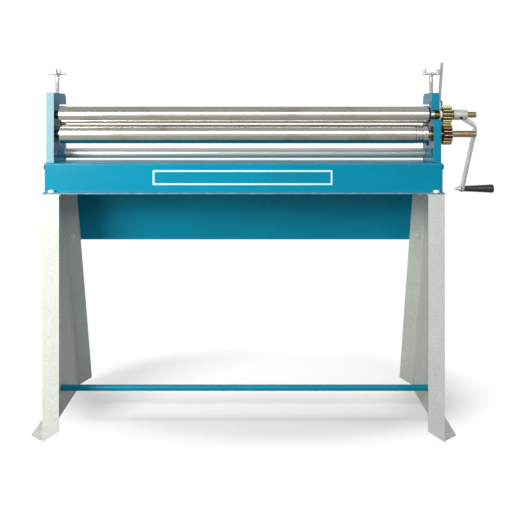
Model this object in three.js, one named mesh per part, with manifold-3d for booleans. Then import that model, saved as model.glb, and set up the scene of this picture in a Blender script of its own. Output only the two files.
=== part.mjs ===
import * as THREE from 'three';
import { mergeVertices } from 'three/addons/utils/BufferGeometryUtils.js';
import Module from 'manifold-3d';

const wasm = await Module();
wasm.setup();

// A hand-cranked slip roll on a folded sheet stand, in millimetres.
// X runs to the right, Y away from the operator and Z up. Until the last line, x = 0 is midway
// between the end frames, y = 0 is the bed's front face and z = 0 is the floor.

// Clearances
const seat = 0.3; // between faces that rest on each other
const runningGap = 0.3; // around a shaft in its bore
const slideGap = 0.3; // on each side of a block in its window

// End frames
const frameThickness = 25;
const frameFront = 20;
const frameDepth = 171;
const frameHeight = 236;
const frameCorner = 28;
const headSetback = 30;
const headHeight = 38; // of the bridge above the rear window
const notchHeight = 6;
const slotSides = 32; // of the round end of the open slot

// Rolls
const pinchDepth = 48; // the pinch rolls' axes behind the bed's front face
const rearDepth = 116;
const topAxisRise = 161.5; // above the bed's top
const pinchCentres = 65.5;
const rearAxisDrop = 66.5; // the rear roll's axis below the top roll's
const topRadius = 28;
const lowerRadius = 31.75;
const rearRadius = 28;
const topLength = 1250;
const topEndGap = 15; // between the top roll and each end frame
const lowerEndGap = 18;
const rearEndGap = 12;
const rollChamfer = 1.5;
const journalRadius = 12.5;
const slotJournalRadius = 13.5; // of the top roll where it lies in the open slot
const slotJournalLength = 22;
const collarRadius = 25; // of the black thrust collar at the top roll's right end
const collarLength = 7;
const upperShaftRadius = 10;
const lowerShaftRadius = 11;
const shaftReach = 125; // of both shafts beyond the right end frame
const shaftChamfer = 2;
const grooveDepth = 3.5;
const grooveWidths = [3, 4, 5];
const groovePitch = 11;
const grooveInset = 17; // of the last wire groove from the lower roll's right end
const journalInset = 3; // of a hidden journal's end from the end frame's outer face

// Bearings
const bushRadius = 15;
const blockThickness = 24;
const pinchBlockWidth = 31.4;
const pinchBlockHeight = 36;
const rearBlockWidth = 40;
const rearBlockBelow = 20;
const rearBlockAbove = 36;
const pinchRaise = 4.5;
const pinchLower = 3;
const rearLower = 20;
const nylonLength = 8;
const rearBlockRoof = 12; // between the screw's collar and the rear block's top
const windowMargin = 1; // beyond a block's travel

// Gears
const gearModule = 3.75;
const pressureAngle = THREE.MathUtils.degToRad(20);
const upperTeeth = 15;
const lowerTeeth = 17;
const upperTipRadius = 32.6;
const lowerTipRadius = 36.3;
const toothDepth = 10.5;
const gearFace = 30;
const gearOffset = 8.6; // from the right end frame to the gears

// Crank
const hubRadius = 17.5;
const hubLength = 49;
const hubChamfer = 4;
const hubGap = 7.4; // between the upper gear and the hub
const armThickness = 8;
const armWidth = 25;
const armSwingRadius = 341;
const armRestAngle = THREE.MathUtils.degToRad(37.3); // behind straight down
const armShaftGap = 3; // between the shafts' ends and the arm
const armBend = 48; // radius at which the arm stops sloping outwards
const armRise = 53; // outward travel of the arm between its root and its bend
const armRoot = 12; // radius inside the hub at which the arm is cut to it
const setScrewRadius = 4;
const setScrewLength = 9;
const setScrewGap = 0.6; // above the shaft
const spindleRadius = 6;
const spindleTail = 20;
const gripLength = 110;
const gripInnerRadius = 9.5;
const gripOuterRadius = 15.5;
const gripRecess = 8;
const gripWaist = 0.55; // of the grip's length, where it starts to swell
const spindleHeadRadius = 9;
const spindleHeadHeight = 4;
const spindleHeadGap = 0.6;
const gripNutHeight = 8;

// Adjusting screws of the rear roll
const screwRadius = 6.5;
const screwNeckRadius = 4.8;
const screwCollarRadius = 8;
const screwCollarHeight = 6;
const screwAboveFrame = 39;
const handleHubRadius = 7.2;
const handleHubHeight = 25;
const handleSpan = 60;
const handleBarRadius = 4;
const handleLugRadius = 6;
const handleLugHeight = 20;
const spigotRadius = 4;
const spigotLength = 18;

// Screws that press the lower roll upwards
const pinchScrewRadius = 6;
const pinchScrewHead = 8;
const pinchScrewLength = 42;
const pinchPocketHeight = 24;
const pinchPocketWidth = 26;
const pinchPocketMargin = 2; // below the screw's head at its lowest

// Release lever
const leverDepth = 66; // of its pivot behind the bed's front face
const leverRise = 39.5; // of its pivot above the top roll's axis
const leverLength = 140;
const leverThickness = 7.4;
const leverHubRadius = 12;
const leverBarRadius = 5.5;
const leverBarThickness = 7;
const leverLean = THREE.MathUtils.degToRad(4);
const camNoseRadius = 8;
const pivotRadius = 6;
const pivotHead = 5;

// Bed
const bedHeight = 100.7;
const bedDepth = 190;
const bedSheet = 4;
const bedLip = 32; // forwards, under the front face
const bedRearLip = 30;
const tongueHeight = 59;
const tongueThickness = 20.7;
const tongueFront = 30;
const tongueDepth = 130;
const frameScrewInset = 12; // from the tongue's ends
const frameScrewDrop = 15; // below the bed's top
const tieBarRadius = 17.5;
const tieBarRise = 25;
const tieBarInset = 17.5; // of its axis from the end frames' rear edge

// Stand
const standHeight = 820;
const legSheet = 3;
const legFront = -30;
const legTopRear = 235;
const legFootRear = 514;
const frontFlange = 55;
const rearFlange = 52;
const topPlate = 60;
const flangeRise = 36; // of a flange's bottom edge from its outer to its inner corner
const footWidth = 51;
const footCorner = 46;
const footHoleRadius = 6;
const footHoleInset = 70;
const footInset = 10; // of a foot's ends from the leg's edges
const footCornerStep = 2;
const panelHeight = 207; // along the leaning flange
const panelTopInset = 8; // below the flange's top end
const panelSheet = 2;
const panelOverlap = 40;
const panelBoltInset = 16;
const panelBoltEdge = 9; // from the panel's side edges
const weldNutHeight = 6;
const tieRodRadius = 11;
const tieRodDepth = 206;
const tieRodHeight = 98;

// Fasteners
const bedBoltRadius = 6;
const bedBoltHead = 8;
const bedBoltInset = 25; // from the leg's outer face
const bedBoltFront = -15;
const bedBoltRear = 172;
const smallBoltRadius = 5;
const smallBoltHead = 6;
const boltHeadScale = 1.9; // a hexagon's corner radius for each unit of shank radius
const boltDepth = 25; // of a bolt in a tapped end
const tieBarBoltHead = 7;
const capHeadScale = 1.5; // a cap screw's head radius for each unit of shank radius
const frameScrewHead = 12;
const frameScrewBite = 12; // into the end frame's tongue
const nutTail = 6; // of a bolt beyond its nut
const overcut = 1; // by which a cutting tool stands proud

// Places worked out from the sizes above
const frameInner = topLength / 2 + topEndGap;
const lowerLength = 2 * (frameInner - lowerEndGap);
const rearLength = 2 * (frameInner - rearEndGap);
const frameOuter = frameInner + frameThickness;
const frameMiddle = frameInner + frameThickness / 2;
const frameRear = frameFront + frameDepth;
const bedBottom = standHeight + seat;
const bedTop = bedBottom + bedHeight;
const frameBottom = bedTop + seat;
const frameTop = bedTop + frameHeight;
const topAxis = bedTop + topAxisRise;
const lowerAxis = topAxis - pinchCentres;
const rearAxis = topAxis - rearAxisDrop;
const shaftEnd = frameOuter + shaftReach;
const gearStart = frameOuter + gearOffset;
const hubStart = gearStart + gearFace + hubGap;
const armInner = shaftEnd + armShaftGap;
const armOuter = armInner + armThickness;
const windowHalf = pinchBlockWidth / 2 + slideGap;
const rearWindowHalf = rearBlockWidth / 2 + slideGap;
const rearWindowTop = frameTop - headHeight;
const rearWindowBottom = rearAxis - rearBlockBelow - rearLower - windowMargin;
const lowerWindowBottom = lowerAxis - pinchBlockHeight / 2 - pinchLower - windowMargin;
const lowerWindowTop = lowerAxis + pinchBlockHeight / 2 + pinchRaise + windowMargin;
const slotHalf = bushRadius + slideGap;
const pinchScrewTop = lowerAxis - pinchBlockHeight / 2 - seat;
const pinchHeadBottom = pinchScrewTop - pinchScrewLength - pinchScrewHead;
const pinchPocketBottom = pinchHeadBottom - pinchLower - pinchPocketMargin;
const screwTop = frameTop + screwAboveFrame;
const collarTop = rearAxis + rearBlockAbove - rearBlockRoof;
const leverPivot = new THREE.Vector2(leverDepth, topAxis + leverRise);
const legLean = Math.atan2(legFootRear - legTopRear, standHeight);
const panelTop = standHeight / Math.cos(legLean) - panelTopInset;
const panelBottom = panelTop - panelHeight;
const tieBarDepth = frameRear - tieBarInset;
const tieBarAxis = bedTop + tieBarRise;
const tongueOuter = frameInner + tongueThickness;
const journalEnd = frameOuter - journalInset;
const panelHalf = frameOuter - legSheet - rearFlange + panelOverlap;
const panelBoltX = panelHalf - panelBoltEdge;

// Solids

function solidOf(geometry) {
  const bare = geometry.clone();
  bare.deleteAttribute('normal');
  bare.deleteAttribute('uv');
  const merged = mergeVertices(bare, 1e-4);
  const corners = merged.index.array;
  const faces = [];
  for (let i = 0; i < corners.length; i += 3) {
    const [a, b, c] = corners.slice(i, i + 3);
    if (a !== b && b !== c && a !== c) faces.push(a, b, c);
  }
  return new wasm.Manifold(new wasm.Mesh({
    numProp: 3,
    vertProperties: Float32Array.from(merged.attributes.position.array),
    triVerts: Uint32Array.from(faces),
  }));
}

function geometryOf(solid) {
  const mesh = solid.getMesh();
  const geometry = new THREE.BufferGeometry();
  geometry.setAttribute('position', new THREE.BufferAttribute(mesh.vertProperties, 3));
  geometry.setIndex(new THREE.BufferAttribute(mesh.triVerts, 1));
  geometry.computeVertexNormals();
  return geometry;
}

const joined = (...geometries) =>
  geometryOf(geometries.map(solidOf).reduce((whole, next) => whole.add(next)));

const cut = (body, ...tools) =>
  geometryOf(tools.map(solidOf).reduce((whole, tool) => whole.subtract(tool), solidOf(body)));

const common = (a, b) => geometryOf(solidOf(a).intersect(solidOf(b)));

// Extrusions along one axis, of a shape drawn in the other two

function alongX(shape, start, end) {
  const geometry = new THREE.ExtrudeGeometry(shape, { depth: end - start, bevelEnabled: false });
  const turn = new THREE.Matrix4().makeBasis(
    new THREE.Vector3(0, 1, 0), new THREE.Vector3(0, 0, 1), new THREE.Vector3(1, 0, 0));
  return geometry.applyMatrix4(turn).translate(start, 0, 0);
}

function alongY(shape, start, end) {
  const geometry = new THREE.ExtrudeGeometry(shape, { depth: end - start, bevelEnabled: false });
  return geometry.rotateX(Math.PI / 2).translate(0, end, 0);
}

function alongZ(shape, start, end) {
  return new THREE.ExtrudeGeometry(shape, { depth: end - start, bevelEnabled: false })
    .translate(0, 0, start);
}

const outline = (points) => new THREE.Shape(points.map(([u, v]) => new THREE.Vector2(u, v)));

function box([x0, x1], [y0, y1], [z0, z1]) {
  return new THREE.BoxGeometry(x1 - x0, y1 - y0, z1 - z0)
    .translate((x0 + x1) / 2, (y0 + y1) / 2, (z0 + z1) / 2);
}

// A round bar along an axis, centred on (0, 0) of the other two
function bar(axis, radius, start, end, sides = 24) {
  const geometry = new THREE.CylinderGeometry(radius, radius, end - start, sides)
    .translate(0, (start + end) / 2, 0);
  if (axis === 'x') return geometry.rotateZ(-Math.PI / 2);
  if (axis === 'z') return geometry.rotateX(Math.PI / 2);
  return geometry;
}

// A faceted bore that a faceted shaft of this radius turns in without touching
const boreRadius = (radius, sides = 24) => (radius + runningGap) / Math.cos(Math.PI / sides);

const bore = (axis, radius, start, end, sides = 24) =>
  bar(axis, boreRadius(radius, sides), start, end, sides);

// A body of revolution along X, from pairs of [x, radius]
function turnedX(profile, sides = 48) {
  const points = profile.map(([x, radius]) => new THREE.Vector2(radius, x));
  return new THREE.LatheGeometry(points, sides).rotateZ(-Math.PI / 2);
}

// A sheet of even thickness that follows a line of points, with mitred folds
function folded(points, thickness) {
  const half = thickness / 2;
  const at = points.map(([u, v]) => new THREE.Vector2(u, v));
  const directions = at.slice(1).map((p, i) => p.clone().sub(at[i]).normalize());
  const normal = (d) => new THREE.Vector2(-d.y, d.x);
  const offsets = at.map((_, i) => {
    const before = normal(directions[Math.max(i - 1, 0)]);
    const after = normal(directions[Math.min(i, directions.length - 1)]);
    const mitre = before.clone().add(after).normalize();
    return mitre.multiplyScalar(half / mitre.dot(after));
  });
  const left = at.map((p, i) => p.clone().add(offsets[i]));
  const right = at.map((p, i) => p.clone().sub(offsets[i]));
  return new THREE.Shape([...left, ...right.reverse()]);
}

// The outline round two circles, one at the origin and one above it
function drop(radius, upperRadius, distance) {
  const tilt = Math.asin((radius - upperRadius) / distance);
  const shape = new THREE.Shape();
  shape.absarc(0, distance, upperRadius, tilt, Math.PI - tilt, false);
  shape.absarc(0, 0, radius, Math.PI - tilt, 2 * Math.PI + tilt, false);
  return shape;
}

// A hexagon bolt along Z, with its shank down from z = 0 and its head above
const bolt = (radius, head, length) => joined(
  bar('z', radius, -length, head / 2, 12),
  bar('z', radius * boltHeadScale, 0, head, 6),
);

const nut = (radius, height) => cut(
  bar('z', radius * boltHeadScale, -height, 0, 6),
  bore('z', radius, -height - overcut, overcut, 12),
);

// A cap screw along Z, drawn like the bolt
const capScrew = (radius, head, length) => joined(
  bar('z', radius, -length, head / 2, 12),
  bar('z', radius * capHeadScale, 0, head, 16),
);

const headUp = new THREE.Euler(0, 0, 0);
const headRight = new THREE.Euler(0, Math.PI / 2, 0);
const headLeft = new THREE.Euler(0, -Math.PI / 2, 0);
const headForward = new THREE.Euler(Math.PI / 2, 0, 0);

// Finishes: colour, roughness, metalness
const finishes = {
  bluePaint: ['#0786b4', 0.35, 0],
  legPaint: ['#d5dbd8', 0.45, 0],
  groundSteel: ['#c8c6c0', 0.2, 1],
  satinSteel: ['#a9b4c4', 0.4, 1],
  bronze: ['#9a7b3a', 0.4, 1],
  zinc: ['#d2d3d0', 0.35, 1],
  paleZinc: ['#c5ccc6', 0.5, 0.4],
  leverGrey: ['#8d929c', 0.4, 0.6],
  blackSteel: ['#24262a', 0.45, 0.5],
  grip: ['#2e2f2a', 0.5, 0],
  nylon: ['#eeeeea', 0.5, 0],
};

function place(parent, name, geometry, finish, position = [0, 0, 0], rotation = headUp) {
  const [color, roughness, metalness] = finishes[finish];
  const mesh = new THREE.Mesh(
    geometry, new THREE.MeshStandardMaterial({ color, roughness, metalness }));
  mesh.name = name;
  mesh.position.set(...position);
  mesh.rotation.copy(rotation);
  parent.add(mesh);
  return mesh;
}

function groupAt(parent, x, y, z) {
  const group = new THREE.Group();
  group.position.set(x, y, z);
  parent.add(group);
  return group;
}

const sides = [['left', -1], ['right', 1]];

// Flips a span given for the right side over to the left one
const span = (side, inner, outer) => (side > 0 ? [inner, outer] : [-outer, -inner]);

// Stand

const leaned = (geometry) => geometry.rotateX(legLean).translate(0, legFootRear, 0);

function leg(side) {
  const outer = frameOuter;
  const inner = outer - legSheet;
  const footFront = legFront + footInset;
  const footRear = legFootRear - footInset;
  const web = alongX(
    outline([[legFront, 0], [legFootRear, 0], [legTopRear, standHeight], [legFront, standHeight]]),
    ...span(side, inner, outer));
  const frontSheet = alongY(
    outline([
      [side * outer, 0], [side * outer, standHeight],
      [side * (outer - frontFlange), standHeight], [side * (outer - frontFlange), flangeRise],
    ]),
    legFront, legFront + legSheet);
  const rearSheet = leaned(alongY(
    outline([
      [side * outer, legSheet], [side * outer, standHeight / Math.cos(legLean)],
      [side * (outer - rearFlange), standHeight / Math.cos(legLean)],
      [side * (outer - rearFlange), legSheet + flangeRise],
    ]),
    -legSheet, 0));
  const top = box(
    span(side, outer - topPlate, outer), [legFront, legTopRear],
    [standHeight - legSheet, standHeight]);
  const foot = alongZ(
    outline([
      [side * inner, footFront], [side * (outer + footCornerStep), footFront],
      [side * (outer + footWidth), footFront + footCorner],
      [side * (outer + footWidth), footRear - footCorner],
      [side * (outer + footCornerStep), footRear], [side * inner, footRear],
    ]),
    0, legSheet);
  const footHoles = [legFront + footHoleInset, legFootRear - footHoleInset].map((y) =>
    bar('z', footHoleRadius, -overcut, legSheet + overcut, 16)
      .translate(side * (outer + footWidth / 2), y, 0));
  const topHoles = [bedBoltFront, bedBoltRear].map((y) =>
    bore('z', bedBoltRadius, standHeight - legSheet - overcut, standHeight + overcut, 12)
      .translate(side * (outer - bedBoltInset), y, 0));
  const panelHoles = panelBoltHeights.map((s) =>
    leaned(bore('y', smallBoltRadius, -legSheet - overcut, overcut, 12)
      .translate(side * panelBoltX, 0, s)));
  const rodHole = bore('x', smallBoltRadius, ...span(side, inner - overcut, outer + overcut), 12)
    .translate(0, tieRodDepth, tieRodHeight);
  return cut(
    joined(web, frontSheet, rearSheet, top, foot),
    ...footHoles, ...topHoles, ...panelHoles, rodHole);
}

const panelBoltHeights = [panelBottom + panelBoltInset, panelTop - panelBoltInset];

function rearPanel() {
  const sheet = box([-panelHalf, panelHalf], [seat, seat + panelSheet], [panelBottom, panelTop]);
  const nutBack = seat + panelSheet + weldNutHeight;
  const places = panelBoltHeights.flatMap((s) => sides.map(([, side]) => [side * panelBoltX, s]));
  const weldNuts = places.map(([x, s]) =>
    bar('y', smallBoltRadius * boltHeadScale, seat + panelSheet / 2, nutBack, 6)
      .translate(x, 0, s));
  const holes = places.map(([x, s]) =>
    bore('y', smallBoltRadius, -overcut, nutBack + overcut, 12).translate(x, 0, s));
  return cut(joined(sheet, ...weldNuts), ...holes);
}

function tieRod() {
  const end = frameOuter - legSheet - seat;
  const rod = bar('x', tieRodRadius, -end, end, 20);
  const taps = sides.map(([, side]) =>
    bore('x', smallBoltRadius, ...span(side, end - boltDepth, end + overcut), 12));
  return cut(rod, ...taps);
}

function addStand(parent) {
  const stand = groupAt(parent, 0, 0, 0);
  const leaning = groupAt(stand, 0, legFootRear, 0);
  leaning.rotation.x = legLean;
  place(leaning, 'rear_panel', rearPanel(), 'bluePaint');
  const rod = groupAt(stand, 0, tieRodDepth, tieRodHeight);
  place(rod, 'tie_rod', tieRod(), 'bluePaint');
  for (const [name, side] of sides) {
    place(stand, `${name}_leg`, leg(side), 'legPaint');
    place(
      rod, `${name}_tie_rod_bolt`, bolt(smallBoltRadius, smallBoltHead, boltDepth), 'zinc',
      [side * (frameOuter + seat), 0, 0], side > 0 ? headRight : headLeft);
    panelBoltHeights.forEach((s, i) => place(
      leaning, `${name}_${['lower', 'upper'][i]}_panel_bolt`,
      bolt(smallBoltRadius, smallBoltHead, legSheet + panelSheet + weldNutHeight + 3 * seat), 'zinc',
      [side * panelBoltX, -legSheet - seat, s], headForward));
    [['front', bedBoltFront], ['rear', bedBoltRear]].forEach(([end, y]) => {
      const x = side * (frameOuter - bedBoltInset);
      place(
        stand, `${name}_${end}_bed_bolt`,
        bolt(bedBoltRadius, bedBoltHead, bedSheet + legSheet + bedBoltHead + nutTail), 'zinc',
        [x, y, bedBottom + bedSheet + seat]);
      place(
        stand, `${name}_${end}_bed_nut`, nut(bedBoltRadius, bedBoltHead), 'zinc',
        [x, y, standHeight - legSheet - seat]);
    });
  }
}

// Bed

function bedChannel() {
  const half = bedSheet / 2;
  const top = bedTop - half;
  const bottom = bedBottom + half;
  const rear = bedDepth - half;
  const section = folded([
    [-bedLip, bottom], [half, bottom], [half, top], [rear, top],
    [rear, bottom], [rear - bedRearLip + half, bottom],
  ], bedSheet);
  const sheet = alongX(section, -frameOuter, frameOuter);
  const tools = sides.flatMap(([, side]) => [
    box(
      span(side, frameInner - slideGap, tongueOuter + slideGap),
      [tongueFront - slideGap, tongueFront + tongueDepth + slideGap],
      [bedTop - bedSheet - overcut, bedTop + overcut]),
    ...[bedBoltFront, bedBoltRear].map((y) =>
      bore('z', bedBoltRadius, bedBottom - overcut, bedBottom + bedSheet + overcut, 12)
        .translate(side * (frameOuter - bedBoltInset), y, 0)),
  ]);
  return cut(sheet, ...tools);
}

const frameScrewDepths = [
  tongueFront + frameScrewInset, tongueFront + tongueDepth - frameScrewInset];

const frameScrewHoles = (side, inner, outer) => frameScrewDepths.map((y) =>
  bore('x', bedBoltRadius, ...span(side, inner, outer), 12)
    .translate(0, y, bedTop - frameScrewDrop));

function endPlate(side) {
  const sheet = box(
    span(side, frameOuter - bedSheet, frameOuter),
    [bedSheet + seat, bedDepth - bedSheet - seat],
    [bedBottom + bedSheet + seat, bedTop - bedSheet - seat]);
  return cut(
    sheet, ...frameScrewHoles(side, frameOuter - bedSheet - overcut, frameOuter + overcut));
}

function tieBar() {
  const end = frameInner - seat;
  const taps = sides.map(([, side]) =>
    bore('x', bedBoltRadius, ...span(side, end - boltDepth, end + overcut), 12));
  return cut(bar('x', tieBarRadius, -end, end, 32), ...taps);
}

function addBed(parent) {
  const bed = groupAt(parent, 0, 0, 0);
  place(bed, 'bed_channel', bedChannel(), 'bluePaint');
  place(bed, 'tie_bar', tieBar(), 'satinSteel', [0, tieBarDepth, tieBarAxis]);
  for (const [name, side] of sides) {
    const outwards = side > 0 ? headRight : headLeft;
    place(bed, `${name}_end_plate`, endPlate(side), 'bluePaint');
    frameScrewDepths.forEach((y, i) => place(
      bed, `${name}_${['front', 'rear'][i]}_frame_screw`,
      capScrew(bedBoltRadius, frameScrewHead, bedSheet + frameScrewBite), 'blackSteel',
      [side * (frameOuter + seat), y, bedTop - frameScrewDrop], outwards));
    place(
      bed, `${name}_tie_bar_bolt`, bolt(bedBoltRadius, tieBarBoltHead, frameThickness + boltDepth), 'zinc',
      [side * (frameOuter + seat), tieBarDepth, tieBarAxis], outwards);
  }
}

// End frames

function frameOutline(head, slotFloor) {
  const shape = new THREE.Shape();
  shape.moveTo(frameFront, frameBottom);
  shape.lineTo(frameRear, frameBottom);
  shape.lineTo(frameRear, frameTop - frameCorner);
  shape.absarc(frameRear - frameCorner, frameTop - frameCorner, frameCorner, 0, Math.PI / 2);
  shape.lineTo(head, frameTop);
  if (head > frameFront) {
    shape.lineTo(head, slotFloor);
    shape.lineTo(frameFront, slotFloor);
  } else {
    shape.lineTo(frameFront, frameTop);
  }
  return shape;
}

function endFrame(side) {
  const isRight = side > 0;
  const plateSpan = span(side, frameInner, frameOuter);
  const through = span(side, frameInner - overcut, frameOuter + overcut);
  const plate = alongX(
    frameOutline(isRight ? frameFront + headSetback : frameFront, topAxis - slotHalf), ...plateSpan);
  const tongue = box(
    span(side, frameInner, tongueOuter), [tongueFront, tongueFront + tongueDepth],
    [bedTop - tongueHeight, frameBottom + overcut]);
  const topOpening = isRight
    ? joined(
      bar('x', slotHalf, ...through, slotSides).translate(0, pinchDepth, topAxis),
      box(
        through, [frameFront - overcut, pinchDepth], [topAxis - slotHalf, topAxis + slotHalf]))
    : box(
      through, [pinchDepth - windowHalf, pinchDepth + windowHalf],
      [topAxis - windowHalf, topAxis + windowHalf]);
  const tools = [
    topOpening,
    box(
      through, [pinchDepth - windowHalf, pinchDepth + windowHalf],
      [lowerWindowBottom, lowerWindowTop]),
    box(
      through, [rearDepth - rearWindowHalf, rearDepth + rearWindowHalf],
      [rearWindowBottom, rearWindowTop]),
    box(through, [rearDepth, frameRear + overcut], [rearWindowTop - notchHeight, rearWindowTop]),
    bore('z', screwRadius, rearWindowTop - overcut, frameTop + overcut)
      .translate(side * frameMiddle, rearDepth, 0),
    box(
      through, [pinchDepth - pinchPocketWidth / 2, pinchDepth + pinchPocketWidth / 2],
      [pinchPocketBottom, pinchPocketBottom + pinchPocketHeight]),
    bore('z', pinchScrewRadius, pinchHeadBottom, lowerWindowBottom + overcut, 12)
      .translate(side * frameMiddle, pinchDepth, 0),
    bore('x', bedBoltRadius, ...through, 12).translate(0, tieBarDepth, tieBarAxis),
    ...frameScrewHoles(side, tongueOuter - frameScrewBite - seat, tongueOuter + overcut),
  ];
  if (isRight) {
    tools.push(bore('x', pivotRadius, ...through, 12).translate(0, leverPivot.x, leverPivot.y));
  }
  return cut(joined(plate, tongue), ...tools);
}

// Top roll, with the bearings that swing out with it

function topRoll() {
  const end = topLength / 2;
  const collarEnd = end + collarLength;
  const slotEnd = end + slotJournalLength;
  return turnedX([
    [-journalEnd, 0], [-journalEnd, journalRadius], [-end, journalRadius],
    [-end, topRadius - rollChamfer], [-end + rollChamfer, topRadius],
    [end - rollChamfer, topRadius], [end, topRadius - rollChamfer],
    [end, collarRadius], [collarEnd, collarRadius], [collarEnd, slotJournalRadius],
    [slotEnd, slotJournalRadius], [slotEnd, upperShaftRadius],
    [shaftEnd - shaftChamfer, upperShaftRadius], [shaftEnd, upperShaftRadius - shaftChamfer],
    [shaftEnd, 0],
  ]);
}

const ring = (outer, inner, start, end) =>
  cut(bar('x', outer, start, end, 32), bore('x', inner, start - overcut, end + overcut));

function swivelBlock() {
  const half = pinchBlockWidth / 2;
  const slab = [-frameMiddle - blockThickness / 2, -frameMiddle + blockThickness / 2];
  const round = bar('z', half, -half, half, 32).translate(-frameMiddle, 0, 0);
  return cut(
    common(round, box(slab, [-half, half], [-half, half])),
    bore('x', journalRadius, slab[0] - overcut, slab[1] + overcut));
}

// Involute of a base circle, measured from the middle of a tooth
function toothAngle(radius, teeth) {
  const involute = (angle) => Math.tan(angle) - angle;
  const pitchRadius = gearModule * teeth / 2;
  const baseRadius = pitchRadius * Math.cos(pressureAngle);
  const here = Math.acos(Math.min(baseRadius / radius, 1));
  return Math.PI / (2 * teeth) + involute(pressureAngle) - involute(here);
}

function gear(teeth, tipRadius, shaftRadius, firstTooth) {
  const flankSteps = 3;
  const rootRadius = tipRadius - toothDepth;
  const baseRadius = gearModule * teeth / 2 * Math.cos(pressureAngle);
  const flank = [rootRadius];
  for (let i = 0; i <= flankSteps; i += 1) {
    flank.push(THREE.MathUtils.lerp(baseRadius, tipRadius, i / flankSteps));
  }
  const points = [];
  for (let tooth = 0; tooth < teeth; tooth += 1) {
    const middle = firstTooth + tooth * 2 * Math.PI / teeth;
    const add = (radius, angle) => points.push([radius * Math.cos(angle), radius * Math.sin(angle)]);
    flank.forEach((radius) => add(radius, middle - toothAngle(radius, teeth)));
    [...flank].reverse().forEach((radius) => add(radius, middle + toothAngle(radius, teeth)));
  }
  return cut(
    alongX(outline(points), gearStart, gearStart + gearFace),
    bore('x', shaftRadius, gearStart - overcut, gearStart + gearFace + overcut));
}

// The crank is drawn with its arm up, and turned to its rest angle as one group

function crankHub() {
  const end = hubStart + hubLength;
  const body = turnedX([
    [hubStart, 0], [hubStart, hubRadius], [end - hubChamfer, hubRadius],
    [end, hubRadius - hubChamfer], [end, 0],
  ], 32);
  const screwHole = bar('z', setScrewRadius + runningGap, 0, hubRadius + overcut, 16)
    .translate(hubStart + hubLength / 2, 0, 0).applyMatrix4(setScrewTurn);
  return cut(body, bore('x', upperShaftRadius, hubStart - overcut, end + overcut), screwHole);
}

// The set screw lies a quarter turn from the arm, towards the operator
const setScrewTurn = new THREE.Matrix4().makeRotationX(-Math.PI / 2);

function crankArm() {
  const middle = (armInner + armOuter) / 2;
  const start = middle - armRise;
  const side = alongY(
    folded([[start, armRoot], [middle, armBend], [middle, armSwingRadius + armWidth]], armThickness),
    -armWidth / 2, armWidth / 2);
  const face = alongX(
    drop(armWidth / 2, armWidth / 2, armSwingRadius), hubStart, armOuter + overcut);
  return cut(
    common(side, face),
    bar('x', hubRadius + seat, hubStart - overcut, hubStart + hubLength + overcut, 32),
    bore('x', spindleRadius, armInner - overcut, armOuter + overcut, 16)
      .translate(0, 0, armSwingRadius));
}

function gripSpindle() {
  const headStart = armOuter + seat + gripLength - gripRecess + spindleHeadGap;
  return turnedX([
    [armInner - spindleTail, 0], [armInner - spindleTail, spindleRadius - 1],
    [armInner - spindleTail + 1, spindleRadius],
    [headStart, spindleRadius], [headStart, spindleHeadRadius],
    [headStart + spindleHeadHeight, spindleHeadRadius - 1], [headStart + spindleHeadHeight, 0],
  ], 16);
}

function grip() {
  const start = armOuter + seat;
  const end = start + gripLength;
  const body = turnedX([
    [start, 0], [start, gripInnerRadius - 1], [start + 1, gripInnerRadius],
    [start + gripLength * gripWaist, gripInnerRadius + 3],
    [end - 14, gripOuterRadius], [end - 5, gripOuterRadius - 0.8],
    [end, gripOuterRadius - 5], [end, 0],
  ], 24);
  return cut(
    body,
    bore('x', spindleRadius, start - overcut, end + overcut, 16),
    bore('x', spindleHeadRadius, end - gripRecess, end + overcut));
}

function addTopRoll(parent) {
  const swing = groupAt(parent, 0, pinchDepth, topAxis);
  const bushStart = topLength / 2 + slotJournalLength + seat;
  place(swing, 'left_swivel_block', swivelBlock(), 'blackSteel');
  place(
    swing, 'right_top_bush',
    ring(bushRadius, upperShaftRadius, bushStart, frameOuter - seat), 'bronze');
  place(
    swing, 'nylon_bush',
    ring(slotJournalRadius, upperShaftRadius, frameOuter + seat, frameOuter + seat + nylonLength),
    'nylon');
  place(swing, 'top_roll', topRoll(), 'groundSteel');
  place(
    swing, 'upper_gear', gear(upperTeeth, upperTipRadius, upperShaftRadius, -Math.PI / 2), 'bronze');
  const crank = groupAt(swing, 0, 0, 0);
  crank.rotation.x = Math.PI + armRestAngle;
  place(crank, 'crank_hub', crankHub(), 'paleZinc');
  place(crank, 'crank_arm', crankArm(), 'zinc');
  place(
    crank, 'hub_set_screw',
    bar('z', setScrewRadius, 0, setScrewLength, 12)
      .translate(hubStart + hubLength / 2, 0, upperShaftRadius + setScrewGap)
      .applyMatrix4(setScrewTurn),
    'blackSteel');
  place(crank, 'grip_spindle', gripSpindle(), 'zinc', [0, 0, armSwingRadius]);
  place(
    crank, 'grip_nut', nut(spindleRadius, gripNutHeight), 'zinc',
    [armInner - seat, 0, armSwingRadius], headRight);
  place(crank, 'grip', grip(), 'grip', [0, 0, armSwingRadius]);
}

// Lower roll, with the blocks and screws that press it upwards

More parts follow.
